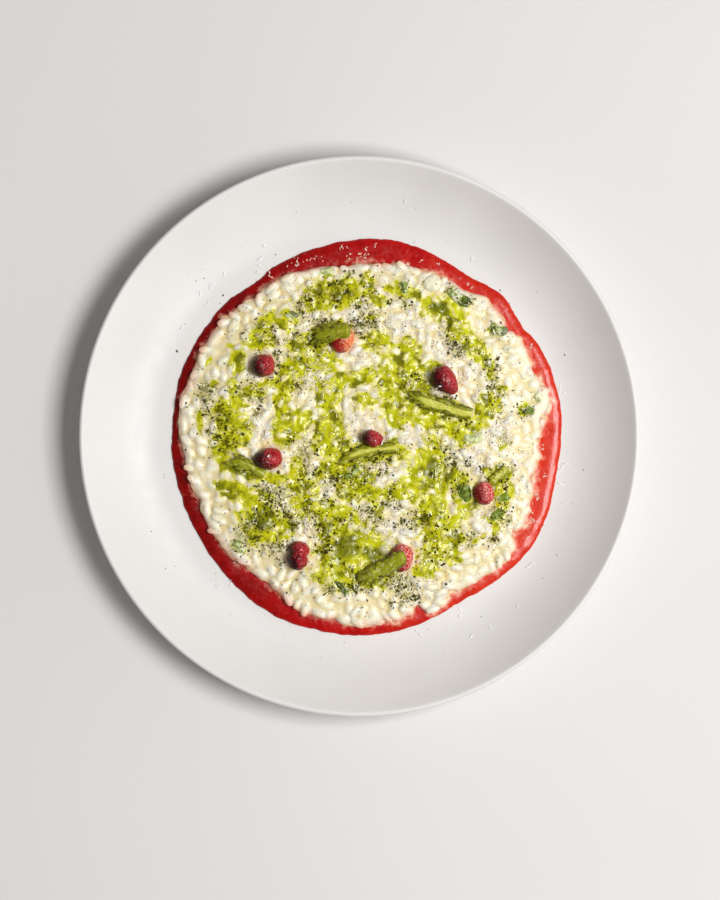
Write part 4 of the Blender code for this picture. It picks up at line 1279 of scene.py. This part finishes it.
def heap_skin(raster, level):
    """Points and triangles of the cream's upper side, and how far inside its edge they lie."""
    bearing = np.arange(RIM_SIDES) * 360.0 / RIM_SIDES
    turn = np.radians(bearing)
    edge = rice_rim(bearing)

    def edge_at(angle):
        return np.interp(angle % 360, np.append(bearing, 360.0), np.append(edge, edge[0]))

    flat = [np.stack([FOOD_CENTRE.x + (edge - inset) * np.cos(turn),
                      FOOD_CENTRE.y + (edge - inset) * np.sin(turn)], -1) for inset in RIM_INSETS]
    side = RICE_RADIUS + 8 * MM
    gx, gy = np.meshgrid(np.arange(-side, side, LATTICE),
                         np.arange(-side, side, LATTICE * 0.8660254))
    gx = gx + (np.arange(len(gy)) % 2)[:, None] * LATTICE / 2
    gx, gy = (gx + FOOD_CENTRE.x).ravel(), (gy + FOOD_CENTRE.y).ravel()
    far, angle = polar(gx, gy)
    inside = far < edge_at(angle) - RIM_INSETS[-1] - 0.4 * MM
    flat.append(np.stack([gx[inside], gy[inside]], -1))
    corners = [Vector(p) for p in np.vstack(flat).tolist()]
    ring = [(i, (i + 1) % RIM_SIDES) for i in range(RIM_SIDES)]
    points, _, faces, _, _, _ = delaunay_2d_cdt(corners, ring, [], 1, 1e-8, False)
    points, faces = np.array([tuple(p) for p in points]), np.array(faces)
    # Triangles that bridge a bay of the edge go.
    far, angle = polar(*points[faces].mean(1).T)
    faces = faces[edge_at(angle) - far > 0.004 * MM]
    x, y = points[:, 0], points[:, 1]
    z = raster.sample(level, x, y)
    far, angle = polar(x, y)
    inset = edge_at(angle) - far
    # The edge rises steeply and rounds over.
    lowest = SAUCE_TOP - 0.25 * MM
    t = np.clip(inset / (3.4 * MM), 0.0, 1.0)
    limit = lowest + (0.06 + 0.94 * np.sqrt(1 - (1 - t) ** 2)) * np.maximum(z - lowest, 4.2 * MM)
    least = lowest + (1.5 + 0.9 * noise(x, y, 2.4 * MM, 33)) * MM
    z = np.where(t < 1, np.minimum(np.maximum(z, least), limit), z)
    return np.stack([x, y, z], -1), faces, inset


def closed_below(points, faces, inset):
    """Close the cream's upper side with a copy of its rim and a pole."""
    _, angle = polar(points[:, 0], points[:, 1])
    rim = np.argsort(np.where(inset < 0.02 * MM, angle % 360, 999.0), kind="stable")[:RIM_SIDES]
    floor = SAUCE_TOP - 0.5 * MM
    below = np.stack([points[rim, 0], points[rim, 1], np.full(RIM_SIDES, floor)], -1)
    i = np.arange(RIM_SIDES)
    j = (i + 1) % RIM_SIDES
    down = len(points) + i
    pole = np.full(RIM_SIDES, len(points) + RIM_SIDES)
    skirt = np.vstack([np.stack([down, down[j], rim[j]], 1), np.stack([down, rim[j], rim], 1),
                       np.stack([down[j], down, pole], 1)])
    return np.vstack([points, below, [[*FOOD_CENTRE.xy, floor]]]), np.vstack([faces, skirt])


def oil_film(raster, top, oil, points, faces, inset):
    """Oil that fills the hollows up to a level that follows the heap, and its depth."""
    x, y, z = points.T
    level = raster.blur(top, 1.6 * MM) + (oil - 0.90) * 1.6 * MM - 0.16 * MM
    level = level + 0.34 * MM * raster.noise(2.6 * MM, 28)
    film = raster.sample(level, x, y)
    wet = (film > z - 0.12 * MM) & (inset > 3.6 * MM)
    used, inverse = np.unique(faces[np.any(wet[faces], axis=1)], return_inverse=True)
    sheet = inverse.reshape(-1, 3)
    upper = np.stack([x[used], y[used], film[used]], -1)
    under = upper.copy()
    under[:, 2] = np.minimum(z[used], film[used]) - 0.35 * MM
    # Walls join the upper and under sides along edges that only one triangle has.
    n = len(used)
    pairs = np.vstack([sheet[:, [0, 1]], sheet[:, [1, 2]], sheet[:, [2, 0]]])
    border = pairs[~np.isin(pairs[:, 0] * n + pairs[:, 1], pairs[:, 1] * n + pairs[:, 0])]
    a, b = border.T
    wall = np.vstack([np.stack([b, a, a + n], 1), np.stack([b, a + n, b + n], 1)])
    depth = np.tile(np.clip((film[used] - z[used]) / (0.7 * MM), 0, 1), 2)
    return np.vstack([upper, under]), np.vstack([sheet, sheet[:, ::-1] + n, wall]), depth


def make_rice(draw):
    """Make cream, bare grains and oil; hand back their meshes and where the oil lies."""
    raster = Raster()
    grains = scatter_grains(draw)
    level, bare = cream_surface(raster, grains)
    oil = oil_cover(raster.x, raster.y)
    snow = smooth(raster.near(CHEESE_SPOTS) + 0.35 * raster.noise(4 * MM, 15), -0.4, 0.7)
    flakes = 0.16 * raster.noise(1.5 * MM, 13) + 0.10 * raster.noise(0.9 * MM, 14)
    flakes = flakes * (1 - 0.5 * oil)
    level = level + (0.45 + 0.3 * snow) * flakes * MM
    top = np.maximum(level, bare)
    fields = covers(raster, top, oil, snow)

    def kept(points):
        x, y = points[:, 0], points[:, 1]
        values = {key: raster.sample(field, x, y) for key, field in fields.items()}
        values["dark_pool_and_shade"] = values["dark_pool_and_shade"] * raster.sample(oil, x, y)
        return values

    points, faces, inset = heap_skin(raster, level)
    cream_points, cream_faces = closed_below(points, faces, inset)
    piece("rice_cream", cream_points, cream_faces, cream(), ["risotto"], kept(cream_points))
    grain_points, grain_faces, shade = grain_meshes(grains, draw)
    values = {**kept(grain_points), "shade": shade}
    piece("rice_grains", grain_points, grain_faces, grain(), (), values)
    oil_points, oil_faces, depth = oil_film(raster, top, oil, points, faces, inset)
    values = kept(oil_points)
    values = {"oil": np.maximum(values["oil"], 0.45 + 0.5 * depth), "dark_pool_and_shade": values["dark_pool_and_shade"],
              "dust": values["dust"], "snow": 0.6 * values["snow"] * (1 - depth)}
    piece("oil_pools", oil_points, oil_faces, green_oil(), (), values)
    parts = [(cream_points, cream_faces), (grain_points, grain_faces), (oil_points, oil_faces)]
    return parts, lambda x, y: float(raster.sample(oil, x, y))


# ---------------------------------------------------------------- scattered toppings

# How many shreds, bits and flecks are thrown; those that would lie on a berry go.
SHREDS, BITS, STRAY_BITS = 480, 700, 380
CLUMPS, CLUMP_SPREAD = 240, 1.2 * MM
HERBS_IN_SPOTS, HERBS_IN_CLUMPS, STRAY_HERBS, HERBS_ON_PLATE = 2600, 2500, 900, 40


def shred(draw, length, width, thick):
    """A thin curled strip along X."""
    curl, hump, twist = draw.normal(0, 0.5), draw.uniform(0.0, 0.35), draw.normal(0, 0.5)
    rings = []
    for value in np.linspace(-0.5, 0.5, 5):
        taper = 1.0 - 0.6 * (2 * abs(value)) ** 2
        y = curl * length * (value * value - 0.08)
        z = hump * length * (0.25 - value * value)
        w, t = 0.5 * width * taper, 0.5 * thick
        a = twist * value * 2
        c, s = math.cos(a), math.sin(a)
        corners = [(-w, -t), (w, -t), (w, t), (-w, t)]
        rings.append([(value * length, y + p * c - q * s, z + p * s + q * c) for p, q in corners])
    rings = np.array(rings)
    return skin(rings, rings[0].mean(0), rings[-1].mean(0))


def crumb(draw, size):
    """A tiny uneven flake."""
    side = np.arange(5) / 5 * TAU
    r = size * draw.uniform(0.3, 0.6, 5)
    slim, turn = draw.uniform(0.45, 1.0), draw.uniform(0, TAU)
    x, y = r * np.cos(side), slim * r * np.sin(side)
    c, s = math.cos(turn), math.sin(turn)
    ring = np.stack([x * c - y * s, x * s + y * c, size * draw.uniform(-0.15, 0.15, 5)], -1)
    return skin(ring[None], (0, 0, -0.15 * size), (0, 0, 0.2 * size))


def bit(draw, size):
    """A small angular bit of cheese."""
    side = np.arange(5) / 5 * TAU + draw.uniform(0, TAU)
    r = size * draw.uniform(0.3, 0.6, 5)
    z = size * draw.uniform(-0.2, 0.2, 5)
    ring = np.stack([r * np.cos(side), 0.7 * r * np.sin(side), z], -1)
    return skin(ring[None], (0, 0, -0.3 * size), (0.1 * size, 0, 0.18 * size))


def in_spots(draw, spots, spread=0.62):
    """A random place in one of the spots, the bigger ones more often."""
    weight = np.array([s[2] * s[3] for s in spots], float)
    px, py, long, short, turn = spots[draw.choice(len(spots), p=weight / weight.sum())]
    a, b = draw.normal(0, spread, 2)
    c, s = math.cos(math.radians(turn)), math.sin(math.radians(turn))
    x, y = at(px, py)
    return x + (a * long * c - b * short * s) * PIXEL, y + (a * long * s + b * short * c) * PIXEL


def herb_clumps():
    """Middles of the denser clumps of ground herb."""
    draw = np.random.default_rng(41)
    return np.array([in_spots(draw, HERB_SPOTS, 0.72) for _ in range(CLUMPS)])


def in_rice(draw, inset=2 * MM):
    bearing = draw.uniform(0, 360)
    reach = (float(rice_edge(bearing)) - inset) * math.sqrt(draw.random())
    return (FOOD_CENTRE.x + reach * math.cos(math.radians(bearing)),
            FOOD_CENTRE.y + reach * math.sin(math.radians(bearing)))


def on_toppings(x, y):
    """Whether a place lies on a berry."""
    return any(math.hypot(x - b["at"][0] * MM, y - b["at"][1] * MM) < 0.5 * b["size"][0] * MM
               for b in BERRIES)


def herb_share(x, y):
    """From 0 to 1, how thickly ground herb covers a place."""
    return float(smooth(spots_near(HERB_SPOTS, x, y), -0.2, 0.6))


class Ground:
    """Everything that a scattered thing may land on."""

    def __init__(self, parts):
        points, faces = join(parts)
        self.tree = BVHTree.FromPolygons(points.tolist(), faces.tolist())

    def land(self, x, y):
        hit, normal, _, _ = self.tree.ray_cast(Vector((x, y, 0.05)), Vector((0, 0, -1)))
        return np.array(hit), np.array(normal)


def lying(normal, yaw):
    """Rotation that lays X-Y on a surface with this normal, turned by yaw."""
    lean = Vector((0, 0, 1)).rotation_difference(Vector(normal)).to_matrix()
    return np.array(lean @ Matrix.Rotation(yaw, 3, "Z"))


def make_cheese(draw, ground, oil_at):
    """Scatter cheese whose points know how oily, pink and bleached they are."""
    parts, tints = [], []

    def keep(points, faces, oil, pink, bleached):
        parts.append((points, faces))
        tints.append(np.tile((oil, pink, bleached), (len(points), 1)))

    def drop(x, y, long, lift, thick=0.26, blush=0.0, bleach=0.0):
        hit, normal = ground.land(x, y)
        if normal[2] < 0.25 or on_toppings(x, y) or draw.random() < 0.7 * herb_share(x, y):
            return
        if long > 1.7:
            points, faces = shred(draw, long * MM, draw.uniform(0.45, 0.8) * MM, thick * MM)
        else:
            points, faces = bit(draw, long * MM)
        tilt = turned(0, draw.normal(0, 0.12), draw.normal(0, 0.2))
        turn = lying(normal, draw.uniform(0, TAU)) @ tilt
        points = points @ turn.T + hit + normal * (lift * MM + 0.12 * MM)
        oily = min(0.9, 1.3 * oil_at(x, y) * math.sqrt(draw.random()))
        keep(points, faces, oily, blush * draw.random(), bleach)

    for count, span in ((SHREDS, (1.6, 3.2)), (BITS, (0.8, 2.2))):
        for _ in range(count):
            x, y = in_spots(draw, CHEESE_SPOTS)
            drop(x, y, draw.uniform(*span), abs(draw.normal(0, 0.12)) - 0.12)
    for _ in range(STRAY_BITS):
        x, y = in_rice(draw, 6 * MM)
        drop(x, y, draw.uniform(0.8, 2.2), -0.10)
    for px, py in SAUCE_CHEESE:
        for _ in range(draw.integers(2, 6)):
            x, y = at(px + draw.normal(0, 2.2), py + draw.normal(0, 2.2))
            drop(x, y, draw.uniform(0.9, 2.1), -0.10, blush=1.0)
    for px, py, long, yaw in CURLS:
        hit, normal = ground.land(*at(px, py))
        points, faces = shred(draw, long * MM, 0.8 * MM, 0.3 * MM)
        points = points @ lying(normal, math.radians(yaw)).T + hit + normal * 0.3 * MM
        keep(points, faces, 0.0, 0.0, 0.5)
    for px, py in PLATE_CHEESE:
        for _ in range(draw.integers(1, 3)):
            x, y = at(px + draw.normal(0, 1.8), py + draw.normal(0, 1.8))
            drop(x, y, draw.uniform(1.2, 3.8), 0.0, 0.16, bleach=1.0)
    points, faces = join(parts)
    values = dict(zip(("oil", "pink", "bleached"), np.vstack(tints).T))
    piece("cheese_shreds", points, faces, cheese(), (), values)
    return points, faces


def make_herbs(draw, ground):
    """Scatter ground herb: in its spots, in clumps, over the heap and on the plate."""
    parts, shade = [], []

    def drop(x, y, size):
        hit, normal = ground.land(x, y)
        if normal[2] < 0.2 or on_toppings(x, y):
            return
        points, faces = crumb(draw, size * MM)
        points = points @ lying(normal, 0.0).T + hit + normal * 0.08 * size * MM
        parts.append((points, faces))
        shade.append(np.full(len(points), draw.random()))

    def size(largest, usual, spread):
        return min(largest, usual * math.exp(draw.normal(0, spread)))

    clumps = herb_clumps()
    for _ in range(HERBS_IN_SPOTS):
        drop(*in_spots(draw, HERB_SPOTS, 0.8), size(2.4, 0.80, 0.42))
    for _ in range(HERBS_IN_CLUMPS):
        spot = clumps[draw.integers(len(clumps))] + draw.normal(0, CLUMP_SPREAD, 2)
        drop(*spot, size(2.4, 0.86, 0.42))
    for _ in range(STRAY_HERBS):
        drop(*in_rice(draw), size(1.6, 0.74, 0.36))
    for px, py in PLATE_HERB:
        drop(*at(px, py), draw.uniform(0.7, 1.4))
    for _ in range(HERBS_ON_PLATE):
        bearing, reach = draw.uniform(0, TAU), draw.uniform(96, 118) * MM
        drop(reach * math.cos(bearing), reach * math.sin(bearing), draw.uniform(0.35, 0.7))
    points, faces = join(parts)
    piece("herb_flecks", points, faces, herb(), (), {"shade": np.concatenate(shade)})


# ---------------------------------------------------------------- stage


# The lamp stands for a window on the right: bearing and height in degrees, distance and
# size in metres, power in watts.
WINDOW = {"bearing": -4, "height": 65, "distance": 1.7, "size": (0.75, 0.6), "power": 25.4}
WINDOW_COLOUR = (1.0, 0.985, 0.965)
ROOM_COLOUR = (1.0, 0.99, 0.975, 1.0)
TABLE_REACH = 3.0
LENS, SENSOR = 200.0, 36.0


def make_room():
    """Soft light that comes from the sides of the room, and more so from the right."""
    world = bpy.data.worlds.new("studio")
    world.use_nodes = True
    nodes, links = world.node_tree.nodes, world.node_tree.links
    split = nodes.new("ShaderNodeSeparateXYZ")
    links.new(nodes.new("ShaderNodeTexCoord").outputs["Generated"], split.inputs[0])
    total = nodes.new("ShaderNodeMath")
    total.operation = "MULTIPLY"
    spans = (("Z", (0.0, 1.0, 0.48, 0.14)), ("X", (-1.0, 1.0, 0.35, 1.65)))
    for slot, (axis, span) in enumerate(spans):
        fade = nodes.new("ShaderNodeMapRange")
        for key, value in zip(("From Min", "From Max", "To Min", "To Max"), span):
            fade.inputs[key].default_value = value
        links.new(split.outputs[axis], fade.inputs["Value"])
        links.new(fade.outputs["Result"], total.inputs[slot])
    nodes["Background"].inputs["Color"].default_value = ROOM_COLOUR
    links.new(total.outputs[0], nodes["Background"].inputs["Strength"])
    bpy.context.scene.world = world


def make_stage():
    """A plain pale table, soft light, and a camera that looks straight down."""
    mesh = bpy.data.meshes.new("table_top")
    r = TABLE_REACH
    mesh.from_pydata([(-r, -r, 0), (r, -r, 0), (r, r, 0), (-r, r, 0)], [], [(0, 1, 2, 3)])
    mesh.materials.append(table())
    floor = link_object("table_top", mesh)
    make_room()

    lamp = bpy.data.lights.new("window", "AREA")
    lamp.shape = "RECTANGLE"
    lamp.size, lamp.size_y = WINDOW["size"]
    lamp.energy, lamp.color = WINDOW["power"], WINDOW_COLOUR
    b, h = math.radians(WINDOW["bearing"]), math.radians(WINDOW["height"])
    aim = Vector((math.cos(h) * math.cos(b), math.cos(h) * math.sin(b), math.sin(h)))
    window = link_object("window", lamp)
    window.location = aim * WINDOW["distance"]
    window.rotation_euler = (-window.location).to_track_quat("-Z", "Y").to_euler()

    camera = link_object("camera", bpy.data.cameras.new("camera"))
    camera.data.lens, camera.data.sensor_width = LENS, SENSOR
    x, y = at(PHOTO_SIZE[0] / 2, PHOTO_SIZE[1] / 2)
    camera.location = (x, y, PLATE_HEIGHT + PHOTO_SIZE[1] * PIXEL * LENS / SENSOR)
    bpy.context.scene.camera = camera
    bpy.context.scene.view_settings.view_transform = "Standard"


# Each skin's colour in painted shade and in painted light, the colour of the painted
# highlight on its ridges and seeds, and how much the ridges show.
BERRY_SKINS = {
    "ripe": ((0.030, 0.0003, 0.0003), (0.37, 0.0008, 0.004), (0.62, 0.07, 0.09), 0.75),
    "coral": ((0.34, 0.004, 0.008), (0.86, 0.17, 0.055), (0.92, 0.46, 0.22), 1.0),
    "bright": ((0.20, 0.002, 0.004), (0.62, 0.012, 0.018), (0.92, 0.42, 0.36), 1.0),
}
# Skin, pale parts and dark parts of the asparagus.
SPEAR_COLOURS = ((0.31, 0.325, 0.004), (0.68, 0.67, 0.11), (0.10, 0.088, 0.001))
STEM_COLOURS = ((0.24, 0.34, 0.022), (0.74, 0.78, 0.44), (0.045, 0.085, 0.005))


def make_toppings(draw):
    """Make berries, tips and stems, each in place of its solid."""
    skins = {name: berry_skin("berry_" + name, *look) for name, look in BERRY_SKINS.items()}
    spear = asparagus("asparagus_spear", *SPEAR_COLOURS)
    cut = asparagus("asparagus_stem", *STEM_COLOURS)
    made = []

    def add(name, node, material, mesh):
        points, faces, values = mesh
        made.append(piece(name, points, faces, material, [node], values))

    for number, (spec, look) in enumerate(zip(BERRIES, BERRY_LOOKS), 1):
        mesh = berry_mesh(spec, draw, look)
        add(f"wild_berry_{number}", f"berry_{number}", skins[look["skin"]], mesh)
    for number, (spec, style) in enumerate(zip(TIPS, TIP_STYLES), 1):
        mesh = tip_mesh(spec, draw, style)
        add(f"spear_{number}", f"asparagus_tip_{number}", spear, mesh)
    for number, (spec, look) in enumerate(zip(STEMS, STEM_LOOKS), 1):
        mesh = stem_mesh(spec, draw, look)
        add(f"cut_stem_{number:02d}", f"asparagus_stem_{number:02d}", cut, mesh)
    return made


def main():
    for obj in list(bpy.data.objects):
        bpy.data.objects.remove(obj)
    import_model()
    draw = np.random.default_rng(7)
    ground = [make_plate(), make_sauce()]
    rice_parts, oil_at = make_rice(draw)
    ground += rice_parts + make_toppings(draw)
    shreds = make_cheese(draw, Ground(ground), oil_at)
    make_herbs(draw, Ground(ground + [shreds]))
    make_stage()


main()
